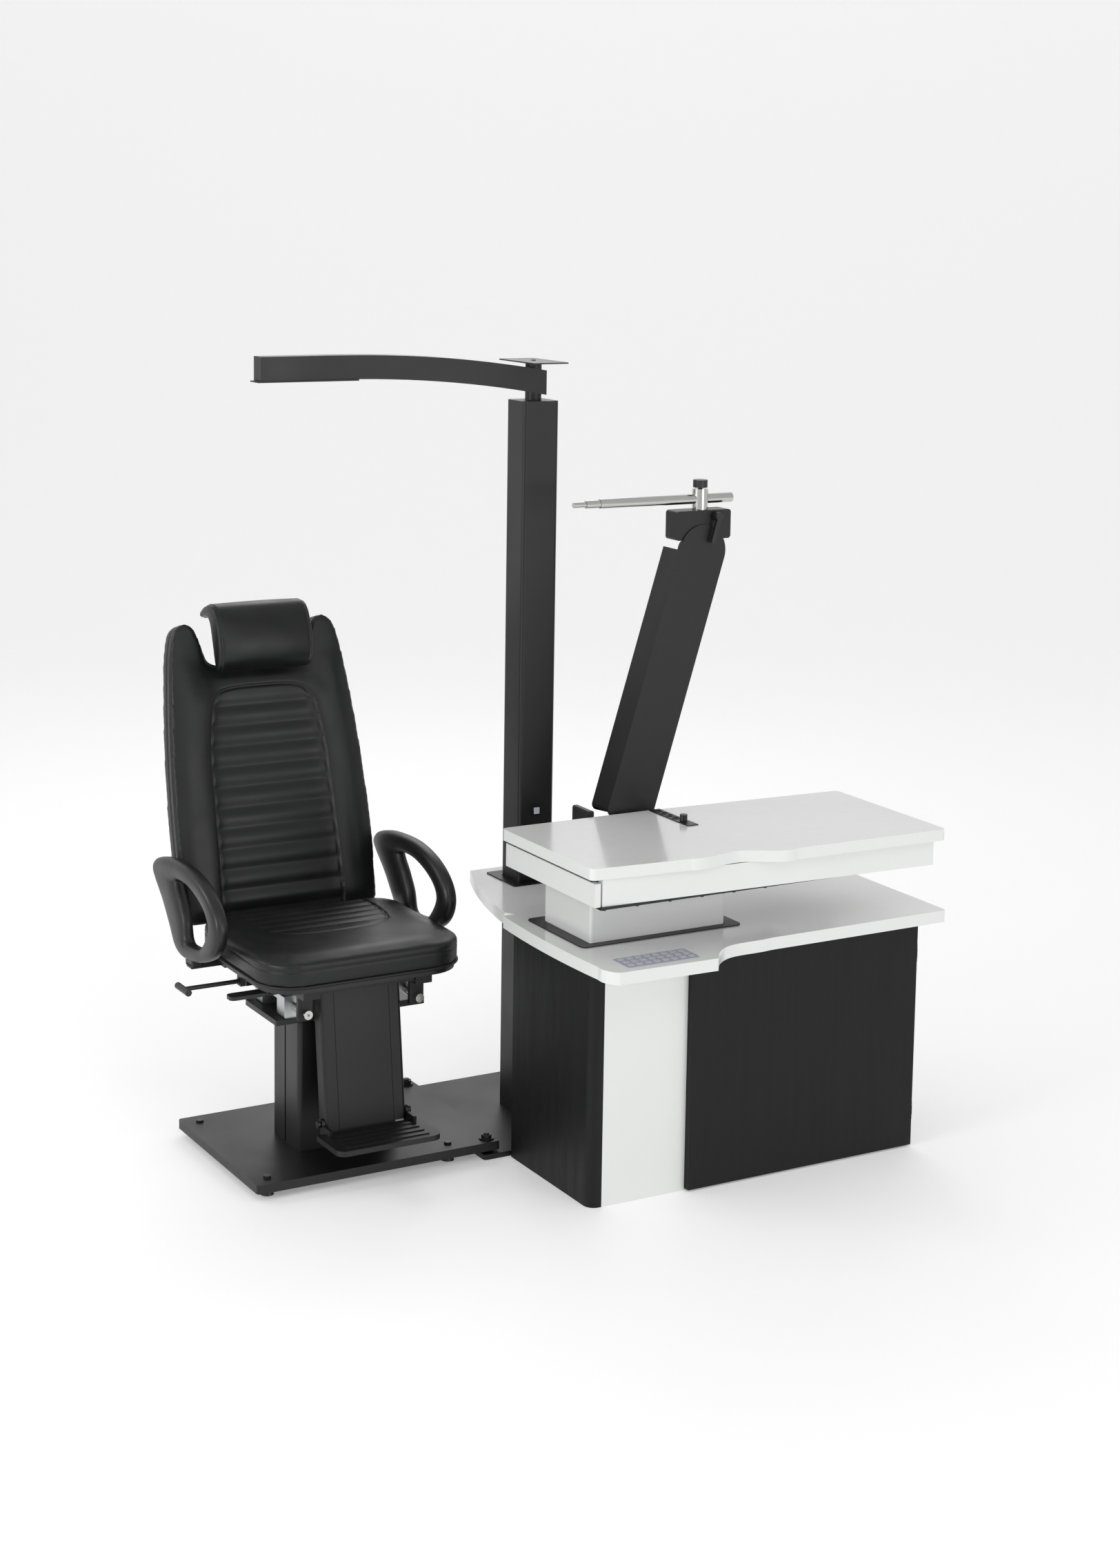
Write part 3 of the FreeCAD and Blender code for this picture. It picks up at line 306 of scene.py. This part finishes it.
def puffed(obj, held, cap):
    """Cloth under inner pressure with the vertices that held() names kept still.
    The outward swelling is evened over the neighbours and limited to the cap, so the cover stays taut."""
    mesh = obj.data
    count = len(mesh.vertices)
    rest, normals = np.empty(count * 3), np.empty(count * 3)
    mesh.vertices.foreach_get("co", rest)
    mesh.vertices.foreach_get("normal", normals)
    rest, normals = rest.reshape(-1, 3), normals.reshape(-1, 3)
    still = np.array([held(v.co) for v in mesh.vertices])
    edges = np.array([edge.vertices[:] for edge in mesh.edges])
    group = obj.vertex_groups.new(name="held")
    group.add([int(k) for k in np.flatnonzero(still)], 1.0, "REPLACE")
    cloth = obj.modifiers.new("Cloth", "CLOTH")
    cloth.settings.quality = 5
    cloth.settings.mass = 0.25
    cloth.settings.tension_stiffness = cloth.settings.compression_stiffness = 15
    cloth.settings.shear_stiffness = 6
    cloth.settings.bending_stiffness = 0.6
    cloth.settings.use_pressure = True
    cloth.settings.uniform_pressure_force = PRESSURE
    cloth.settings.effector_weights.gravity = 0
    cloth.settings.vertex_group_mass = "held"
    cloth.point_cache.frame_start, cloth.point_cache.frame_end = 1, CLOTH_FRAMES
    for number in range(1, CLOTH_FRAMES + 1):
        SCENE.frame_set(number)
    settle(obj)
    blown = np.empty(count * 3)
    obj.data.vertices.foreach_get("co", blown)
    swell = np.clip(((blown.reshape(-1, 3) - rest) * normals).sum(axis=1), 0, cap)
    share = np.bincount(edges.ravel(), minlength=count)
    for _ in range(EVENING_ROUNDS):
        total = np.bincount(edges[:, 0], swell[edges[:, 1]], count)
        total += np.bincount(edges[:, 1], swell[edges[:, 0]], count)
        swell = np.where(still, 0, 0.5 * swell + 0.5 * total / share)
    obj.data.vertices.foreach_set("co", (rest + normals * swell[:, None]).ravel())
    obj.data.update()
    obj.vertex_groups.clear()
    SCENE.frame_set(1)
    return obj


def surface_of(obj):
    """A search tree of an object's surface."""
    return bvhtree.BVHTree.FromObject(obj, bpy.context.evaluated_depsgraph_get())


def dense(path, step, closed=False):
    """The same path with a point at every step."""
    ends = list(path) + ([path[0]] if closed else [])
    out = []
    for a, b in zip(ends, ends[1:]):
        parts = max(1, int((b - a).length / step))
        out += [a.lerp(b, k / parts) for k in range(parts)]
    return out + [ends[-1]]


def cast(tree, points, way):
    """The points moved along a direction on to the surface."""
    hits = [tree.ray_cast(p, way)[0] for p in points]
    return [h for h in hits if h is not None]


def nearest(tree, points):
    """The points moved to the nearest places on the surface."""
    return [tree.find_nearest(p)[0] for p in points]


def grooved(obj, paths, depth, width, spare=None):
    """Presses sewn lines into a surface: each vertex sinks along its normal near the paths."""
    spots = [p for path in paths for p in path]
    tree = kdtree.KDTree(len(spots))
    for i, spot in enumerate(spots):
        tree.insert(spot, i)
    tree.balance()
    shifts = []
    for vert in obj.data.vertices:
        gap = tree.find(vert.co)[2]
        if gap < 3 * width and not (spare and spare(vert.co)):
            shifts.append((vert, vert.normal * (-depth * math.exp(-(gap / width) ** 2))))
    for vert, shift in shifts:
        vert.co += shift
    obj.data.update()
    return obj


def stitches(name, path, tree, body):
    """A row of short thread stitches, 3.2 mm long and 2 mm apart, that lie on a surface along a path."""
    points, faces = [], []
    walk = dense(path, 0.4 * MM)
    span, stride, radius = 8, 13, 0.42 * MM
    for start in range(0, len(walk) - span, stride):
        ends = [walk[start + k * span // 4] for k in range(5)]
        rings = []
        for k, spot in enumerate(ends):
            hit, normal, _, _ = tree.find_nearest(spot)
            along = (ends[min(k + 1, 4)] - ends[max(k - 1, 0)]).normalized()
            side = normal.cross(along).normalized()
            rise = (-0.2, 0.25, 0.4, 0.25, -0.2)[k] * MM
            centre = hit + normal * rise
            ring = []
            for turn in range(6):
                a = math.tau * turn / 6
                ring.append(centre + (side * math.cos(a) + normal * math.sin(a)) * radius)
            rings.append(ring)
        base = len(points)
        points += [p for ring in rings for p in ring]
        for k in range(4):
            for turn in range(6):
                a, b = base + 6 * k + turn, base + 6 * k + (turn + 1) % 6
                faces.append((a, b, b + 6, a + 6))
        faces += [tuple(base + t for t in range(5, -1, -1)), tuple(base + 24 + t for t in range(6))]
    obj = made(name, points, faces, THREAD)
    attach(obj, body)


def bead(name, path, radius, slot, body, sides=10):
    """A round bead along a closed level path."""
    points, faces = [], []
    count = len(path)
    for k, spot in enumerate(path):
        along = (path[(k + 1) % count] - path[k - 1]).normalized()
        side = along.cross(Vector((0, 0, 1))).normalized()
        other = side.cross(along).normalized()
        for turn in range(sides):
            a = math.tau * turn / sides
            points.append(spot + (side * math.cos(a) + other * math.sin(a)) * radius)
    for k in range(count):
        after = (k + 1) % count
        for turn in range(sides):
            near, far = turn, (turn + 1) % sides
            faces.append((k * sides + near, k * sides + far, after * sides + far, after * sides + near))
    obj = made(name, points, faces, MATS[slot])
    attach(obj, body)


def spline(points, closed=False, steps=8):
    """Points on a Catmull-Rom curve through a list of (a, b) pairs."""
    spots = [Vector(p) for p in points]
    count, out = len(spots), []
    for i in range(count if closed else count - 1):
        if closed:
            p = [spots[(i + k) % count] for k in (-1, 0, 1, 2)]
        else:
            p = [spots[min(max(i + k, 0), count - 1)] for k in (-1, 0, 1, 2)]
        for s in range(steps):
            t = s / steps
            out.append(0.5 * (2 * p[1] + (p[2] - p[0]) * t + (2 * p[0] - 5 * p[1] + 4 * p[2] - p[3]) * t * t
                              + (3 * p[1] - p[0] - 3 * p[2] + p[3]) * t ** 3))
    return out if closed else out + [spots[-1]]


# ---- seat cushion ----

def seat_outline(inset, front=90, back=60, count=12):
    """The cushion's plan: a rectangle with large front and smaller back corners, in millimetres."""
    low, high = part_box("seat_cushion")
    x0, x1, y0, y1 = low.x / MM + inset, high.x / MM - inset, low.y / MM + inset, high.y / MM - inset
    corners = ((x1 - front, y0 + front, front, -90), (x1 - back, y1 - back, back, 0),
               (x0 + back, y1 - back, back, 90), (x0 + front, y0 + front, front, 180))
    out = []
    for x, y, radius, start in corners:
        for k in range(count + 1):
            a = math.radians(start + 90 * k / count)
            out.append((x + radius * math.cos(a), y + radius * math.sin(a)))
    return out


def seat_cushion():
    """A crowned pad with a channelled panel, a double-stitched seam and a welt."""
    low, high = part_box("seat_cushion")
    base, top = low.z / MM, high.z / MM
    flat = lambda a, b, depth: Vector((a, b, depth)) * MM
    pad = extruded("seat_cushion_pad", seat_outline(1.5), base + 1, top - 2, MATS["black_leather"], flat)
    refine(pad, 6, voxel=VOXEL)
    puffed(pad, lambda p: p.z < (base + 4) * MM, 12 * MM)
    refine(pad, 3, levels=1)
    tree = surface_of(pad)
    down = Vector((0, 0, -1))
    above = lambda x, y: Vector((x, y, 600)) * MM

    panel = spline([(-654, 176), (-656, 110), (-650, 30), (-628, -22), (-580, -44), (-500, -50), (-420, -44),
                    (-372, -22), (-350, 30), (-344, 110), (-346, 176)])
    border = cast(tree, dense([above(p.x, p.y) for p in panel], STEP), down)
    ribs = []
    for k in range(5):
        y = 150 - 38 * k
        half = 150 if k < 4 else 138
        ribs.append(cast(tree, dense([above(-500 - half, y), above(-500 + half, y)], STEP), down))
    grooved(pad, ribs, 2.6 * MM, 9 * MM)
    grooved(pad, ribs, 1.6 * MM, 2.6 * MM)
    grooved(pad, [border], 2.4 * MM, 3.2 * MM)

    rim = [Vector((a, b, top - 19)) * MM for a, b in seat_outline(1)]
    seam = dense(nearest(tree, rim), STEP, closed=True)
    grooved(pad, [seam], 1.6 * MM, 2.4 * MM)
    finish_pad(pad, "seat", "seat_cushion")
    tree = surface_of(pad)
    for name, level in (("seat_stitch_upper", top - 15.5), ("seat_stitch_lower", top - 22.5)):
        rim = [Vector((a, b, level)) * MM for a, b in seat_outline(0)]
        path = dense(nearest(tree, rim), STEP, closed=True)
        stitches(name, path, tree, "seat")
    welt = [Vector((a, b, base + 1.5)) * MM for a, b in seat_outline(2.5, 88, 58, 16)]
    bead("seat_welt", dense(welt, 8 * MM, closed=True)[:-1], 3.4 * MM, "black_leather", "seat")


def finish_pad(pad, body, node_name):
    """Gives a cushion its leather, parents it to its body and hides the node that it stands for."""
    dress(pad, MATS["black_leather"])
    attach(pad, body)
    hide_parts(node_name)


# ---- backrest ----

LEAN = math.radians(15.1)
FOOT = Vector((-500, 244, 480))


def on_back(across, up, depth):
    """A point of the leaning backrest: across and up its face, and depth behind it, in millimetres."""
    y = FOOT.y + depth * math.cos(LEAN) + up * math.sin(LEAN)
    z = FOOT.z - depth * math.sin(LEAN) + up * math.cos(LEAN)
    return Vector((FOOT.x + across, y, z)) * MM


def from_back(spot):
    """The reverse: (across, up, depth) in millimetres."""
    y, z = spot.y / MM - FOOT.y, spot.z / MM - FOOT.z
    return (spot.x / MM - FOOT.x, y * math.sin(LEAN) + z * math.cos(LEAN),
            y * math.cos(LEAN) - z * math.sin(LEAN))


INWARD = Vector((0, math.cos(LEAN), -math.sin(LEAN)))
# One side of the backrest's outline, as (up, across) in millimetres.
SIDE = [(-4, 226), (10, 236), (80, 240), (155, 243), (274, 241), (380, 236), (471, 229), (540, 222),
        (595, 216), (636, 209), (664, 201), (680, 188), (686, 170), (677, 152), (650, 139), (618, 130),
        (598, 124), (588, 108), (584, 80), (583, 0)]


def back_outline(inset):
    """Both sides of the backrest's outline, moved in by the inset."""
    right = spline([(across, up) for up, across in SIDE], steps=4)
    shape = [(p.x, p.y) for p in right] + [(-p.x, p.y) for p in right[-2::-1]]
    out = []
    for i, (a, b) in enumerate(shape):
        before, after = Vector(shape[i - 1]), Vector(shape[(i + 1) % len(shape)])
        along = (after - before).normalized()
        out.append((a - along.y * inset, b + along.x * inset))
    return out


def panel_half(up):
    """Half the width of the channelled panel at a height."""
    return 151 - 9 * min(up, 366) / 366 - (18 * ((up - 366) / 128) ** 1.4 if up > 366 else 0)


def bolster(across, up):
    """How far the face stands back from the bolsters' crest, in millimetres."""
    half = panel_half(max(0, min(up, 500)))
    beyond = abs(across) - half
    hollow = 13 / (1 + math.exp((beyond - 4) / 9))
    lumbar = -9 * math.exp(-((up - 150) / 110) ** 2) * max(0, 1 - (across / 190) ** 2)
    return hollow + lumbar + 5


def outside_panel(spot):
    """Whether a point lies past the channelled panel's edge."""
    across, up, _ = from_back(spot)
    return abs(across) > panel_half(up) + 2


def backrest():
    """A pad with side bolsters, a channelled panel and two seams around its edge."""
    pad = extruded("backrest_pad", back_outline(1), 1, 64, MATS["black_leather"], on_back)
    refine(pad, 5, voxel=VOXEL)
    for vert in pad.data.vertices:
        across, up, depth = from_back(vert.co)
        share = max(0, 1 - depth / 40)
        vert.co = on_back(across, up, depth + bolster(across, up) * share)
    puffed(pad, lambda p: from_back(p)[2] > 60, 12 * MM)
    refine(pad, 3, levels=1)
    tree = surface_of(pad)
    before = lambda across, up: on_back(across, up, -90)

    ribs = []
    for k in range(11):
        up = 18 + 47 * k
        half = panel_half(up) - (1 if up < 480 else 12)
        ribs.append(cast(tree, dense([before(-half, up), before(half, up)], STEP), INWARD))
    side = [(panel_half(up), up) for up in range(4, 481, 28)]
    top = side + [(119, 500), (104, 519), (80, 527), (40, 530), (0, 530)]
    loop = spline(top + [(-a, b) for a, b in top[-2::-1]], steps=4)
    border = cast(tree, dense([before(p.x, p.y) for p in loop], STEP), INWARD)
    grooved(pad, ribs, 4.2 * MM, 13 * MM, outside_panel)
    grooved(pad, ribs, 2.4 * MM, 3.0 * MM, outside_panel)
    grooved(pad, [border], 3.4 * MM, 3.6 * MM)
    seams = []
    for inset, depth in ((1, 12), (0, 34)):
        line = [on_back(a, b, depth) for a, b in back_outline(inset) if b > 6]
        seams.append(dense(nearest(tree, line), STEP))
    grooved(pad, seams, 1.8 * MM, 2.6 * MM)
    finish_pad(pad, "back", "backrest_cushion")
    tree = surface_of(pad)
    for name, inset, depth in (("back_stitch_a", 1, 8.5), ("back_stitch_b", 0, 30.5)):
        line = [on_back(a, b, depth) for a, b in back_outline(inset) if b > 6]
        stitches(name, dense(nearest(tree, line), STEP), tree, "back")


def headrest():
    """A pillow with a hooked back edge, a stitched seam near each end, and its flat stem."""
    profile = spline([(-22, 572), (-46, 590), (-57, 625), (-58, 665), (-52, 700), (-36, 724), (-8, 734),
                      (24, 733), (50, 724), (56, 713), (46, 707), (20, 706), (2, 700), (-8, 682), (-10, 640),
                      (-12, 600), (-14, 578)], closed=True, steps=5)
    shape = [(p.x, p.y - 9) for p in profile]
    pad = extruded("headrest_pad", shape, -119, 119, MATS["black_leather"],
                   lambda a, b, across: on_back(across, b, a))
    refine(pad, 14, voxel=VOXEL)
    puffed(pad, lambda p: from_back(p)[2] > 30, 9 * MM)
    refine(pad, 3, levels=1)
    tree = surface_of(pad)
    seams, rows = [], []
    for side in (-1, 1):
        edge = [on_back(side * 112, b, a) for a, b in shape]
        seams.append(dense(nearest(tree, edge), STEP, closed=True))
        rows.append([on_back(side * 107, b, a) for a, b in shape])
    grooved(pad, seams, 1.4 * MM, 2.6 * MM)
    finish_pad(pad, "head_pad", "headrest")
    tree = surface_of(pad)
    for name, row in zip(("headrest_stitch_left", "headrest_stitch_right"), rows):
        stitches(name, dense(nearest(tree, row), STEP, closed=True), tree, "head_pad")
    stem = extruded("headrest_stem", [(-15, 430), (15, 430), (15, 705), (-15, 705)], 28, 34,
                    MATS["black_enamel"], on_back)
    edge = stem.modifiers.new("Edge", "BEVEL")
    edge.width, edge.segments = 1.2 * MM, 2
    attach(stem, "head_pad")


# ---- armrests ----

# The armrest's outlines, as (Y, Z) in millimetres.
OUTER = [(344, 600), (328, 620), (290, 634), (225, 644), (120, 645), (30, 625), (-30, 590), (-54, 548),
         (-42, 505), (-5, 473), (50, 450), (110, 438), (165, 437), (205, 452), (240, 492), (282, 538),
         (328, 578)]
INNER = [(200, 600), (120, 605), (40, 580), (5, 545), (30, 500), (60, 480), (120, 472), (140, 480),
         (150, 520), (175, 560)]


def matched(outer, inner, count):
    """Pairs of points across the armrest: each outer one with the inner one nearest to it, evened along
    the loop so that the section turns steadily."""
    tree = kdtree.KDTree(len(inner))
    for i, spot in enumerate(inner):
        tree.insert(spot, i)
    tree.balance()
    total = len(inner)
    picks = [outer[len(outer) * k // count] for k in range(count)]
    places = [tree.find(picks[0])[1]]
    for spot in picks[1:]:
        step = (tree.find(spot)[1] - places[-1] + total // 2) % total - total // 2
        places.append(places[-1] + step)
    lap = -total if places[-1] < places[0] else total
    pairs = []
    for k, spot in enumerate(picks):
        around = [places[(k + j) % count] + lap * ((k + j) // count) for j in range(-9, 10)]
        pairs.append((spot, inner[int(round(sum(around) / len(around))) % total]))
    return pairs


def armrest(side):
    """A closed loop whose section stays round while its height follows the two outlines."""
    name, body = ("armrest_left", "arm_left") if side < 0 else ("armrest_right", "arm_right")
    low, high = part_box(name)
    thick = 36 * MM
    middle = low.x + thick / 2 if side < 0 else high.x - thick / 2
    outer = [Vector((0, p.x, p.y)) * MM for p in spline(OUTER, closed=True, steps=24)]
    inner = [Vector((0, p.x, p.y)) * MM for p in spline(INNER, closed=True, steps=40)]
    count, sides, squareness = 160, 24, 0.75
    points, faces = [], []
    for a, b in matched(outer, inner, count):
        centre, half = (a + b) / 2, (a - b) / 2
        for turn in range(sides):
            angle = math.tau * turn / sides
            c, s = math.cos(angle), math.sin(angle)
            u = math.copysign(abs(c) ** squareness, c)
            v = math.copysign(abs(s) ** squareness, s)
            points.append(centre + half * u + Vector((middle + v * thick / 2, 0, 0)))
    for k in range(count):
        for turn in range(sides):
            j, t = (k + 1) % count, (turn + 1) % sides
            faces.append((k * sides + turn, k * sides + t, j * sides + t, j * sides + turn))
    loop = made(name + "_loop", points, faces, MATS["arm_pad_rubber"])
    shape = bmesh.new()
    shape.from_mesh(loop.data)
    bmesh.ops.recalc_face_normals(shape, faces=shape.faces)
    shape.to_mesh(loop.data)
    shape.free()
    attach(loop, body)
    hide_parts(name)
    left = low.x + 4 * MM if side < 0 else low.x
    right = high.x if side < 0 else high.x - 4 * MM
    block(name + "_bar", left, right, 95, 125, 424, 434, 1.0, "black_enamel", body)
    left, right = middle - 14 * MM, middle + 14 * MM
    block(name + "_socket", left, right, 92, 134, 425, 452, 5.0, "arm_pad_rubber", body)


def block(name, x0, x1, y0, y1, z0, z1, edge, slot, body):
    """A small block with rounded edges that goes with another piece. X in metres, the rest in mm."""
    flat = lambda a, b, depth: Vector((a, b * MM, depth * MM))
    piece = extruded(name, [(x0, y0), (x1, y0), (x1, y1), (x0, y1)], z0, z1, MATS[slot], flat)
    soft = piece.modifiers.new("Edge", "BEVEL")
    soft.width, soft.segments = edge * MM, 3
    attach(piece, body)


# ---- small fittings ----

def keypad():
    """Rounded keys in three rows on the worktop's control film."""
    low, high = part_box("keypad_panel")
    columns, rows, corners = 8, 3, 16
    wide, deep, squareness = 7.2 * MM, 7.0 * MM, 0.4
    points, faces = [], []
    for column in range(columns):
        for row in range(rows):
            x = low.x + (high.x - low.x) * (column + 0.62) / (columns + 0.24)
            y = low.y + (high.y - low.y) * (row + 0.62) / (rows + 0.24)
            base = len(points)
            for level, inset in ((0.0, 0.0), (0.8, 0.0), (1.2, 0.8)):
                for turn in range(corners):
                    a = math.tau * (turn + 0.5) / corners
                    c, s = math.cos(a), math.sin(a)
                    u = math.copysign(abs(c) ** squareness, c)
                    v = math.copysign(abs(s) ** squareness, s)
                    points.append(Vector((x + u * (wide - inset * MM), y + v * (deep - inset * MM),
                                          high.z + level * MM)))
            for ring in range(2):
                for turn in range(corners):
                    after = (turn + 1) % corners
                    a, b = base + ring * corners + turn, base + ring * corners + after
                    faces.append((a, b, b + corners, a + corners))
            faces.append(tuple(base + 2 * corners + turn for turn in range(corners)))
            faces.append(tuple(base + turn for turn in range(corners - 1, -1, -1)))
    keys = made("keypad_keys", points, faces, KEY, smooth=False)
    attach(keys, "base")


def switch_lens():
    """The pale rocker face on the post's switch."""
    low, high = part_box("rocker_switch")
    x = (low.x + high.x) / 2
    z = (low.z + high.z) / 2
    wide, tall = (high.x - low.x) * 0.36, (high.z - low.z) * 0.38
    outline = [(x + a * wide, z + b * tall) for a, b in ((-1, -1), (1, -1), (1, 1), (-1, 1))]
    front, back = low.y - 0.6 * MM, low.y + 1.2 * MM
    lens = extruded("switch_lens", outline, front, back, KEY, lambda a, b, depth: Vector((a, depth, b)))
    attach(lens, "rocker")


def clamp_bolt_drives():
    """A flat near-black hexagon on top of each clamp bolt: painted shade standing in for the shade inside its
    hex drive recess.
    """
    low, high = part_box("plate_clamp_bolts")
    washer = (high.x - low.x) / 2
    radius = 4.2 * MM
    for number, middle in enumerate((low.y + washer, high.y - washer)):
        points = [Vector((low.x + washer + radius * math.cos(math.tau * k / 6),
                          middle + radius * math.sin(math.tau * k / 6), high.z + 0.3 * MM)) for k in range(6)]
        # The hexagon sits flat on the bolt head and is painted shade for the drive recess; it is not a dark
        # part.
        drive_shade = made("clamp_bolt_drive_%d" % number, points, [tuple(range(6))], DRIVE_PAINTED_SHADE, smooth=False)
        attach(drive_shade, "base")


seat_cushion()
backrest()
headrest()
for way in (-1, 1):
    armrest(way)
keypad()
switch_lens()
clamp_bolt_drives()


# ---- floor, lights, camera ----

def floor_material():
    """Matt and pale, with a little light of its own so that it stays pale."""
    mat = shader("pale_floor", (0.88, 0.88, 0.88), 0.7, Emission_Color=(1, 1, 1, 1), Emission_Strength=0.22)
    cloud = texture(mat, "ShaderNodeTexNoise", 3, Detail=3.0)
    vary_roughness(mat, cloud, 0.55, 0.65)
    return mat


def floor():
    """A floor that curves up into a wall, square to the camera's direction."""
    turn = Matrix.Rotation(math.radians(-30.26), 4, "Z")
    bend, wall_top, half_width = 4, 12.0, 16
    profile = [(-12.0, 0.0), (5.0, 0.0)]
    for degrees in range(5, 91, 5):
        a = math.radians(degrees)
        profile.append((5.0 + bend * math.sin(a), bend - bend * math.cos(a)))
    profile.append((5.0 + bend, wall_top))
    points = [turn @ Vector((x, y, z - 0.4 * MM)) for y, z in profile for x in (-half_width, half_width)]
    faces = [(2 * k, 2 * k + 1, 2 * k + 3, 2 * k + 2) for k in range(len(profile) - 1)]
    ground = made("floor", points, faces, floor_material())


def lights():
    """A pale sky and five large soft lights, each given by its place, its size in metres and its watts."""
    world = bpy.data.worlds.new("studio")
    SCENE.world = world
    world.use_nodes = True
    background = world.node_tree.nodes["Background"]
    background.inputs["Color"].default_value = (1.0, 1.0, 1.0, 1)
    background.inputs["Strength"].default_value = 0.62
    middle = Vector((-0.1, 0, 0.8))
    lamps = (((-4.6, -1.4, 1.9), 1.6, 58), ((1.6, -6.5, 1.7), 2.4, 66), ((-3.8, 2.2, 2.8), 1.2, 26),
             ((1.5, 3.4, 3.4), 1.8, 22), ((-1.2, -4.6, 4.2), 2.0, 24))
    for number, (spot, wide, watts) in enumerate(lamps):
        data = bpy.data.lights.new("softbox_%d" % number, "AREA")
        data.size, data.energy = wide, watts
        lamp = bpy.data.objects.new("softbox_%d" % number, data)
        SCENE.collection.objects.link(lamp)
        lamp.location = spot
        lamp.rotation_mode = "QUATERNION"
        lamp.rotation_quaternion = (middle - Vector(spot)).to_track_quat("-Z", "Y")
    SCENE.view_settings.view_transform = "Standard"


def camera():
    """The photograph's view: turned 30.26 degrees, tipped 8.35 down, rolled by 0.95."""
    yaw, pitch, roll = (math.radians(a) for a in (30.2586, 8.3469, 0.9472))
    ahead0 = Vector((math.sin(yaw), math.cos(yaw), 0))
    right0 = Vector((math.cos(yaw), -math.sin(yaw), 0))
    ahead = ahead0 * math.cos(pitch) - Vector((0, 0, 1)) * math.sin(pitch)
    up0 = Vector((0, 0, 1)) * math.cos(pitch) + ahead0 * math.sin(pitch)
    right = right0 * math.cos(roll) + up0 * math.sin(roll)
    up = up0 * math.cos(roll) - right0 * math.sin(roll)
    data = bpy.data.cameras.new("camera")
    data.lens = 60.33
    data.sensor_width = 36
    data.shift_x = -0.0158
    data.shift_y = -0.1348
    lens = bpy.data.objects.new("camera", data)
    SCENE.collection.objects.link(lens)
    turn = Matrix((right, up, -ahead)).transposed()
    lens.matrix_world = Matrix.Translation((-2.885, -5.190, 2.150)) @ turn.to_4x4()
    SCENE.camera = lens


floor()
lights()
camera()
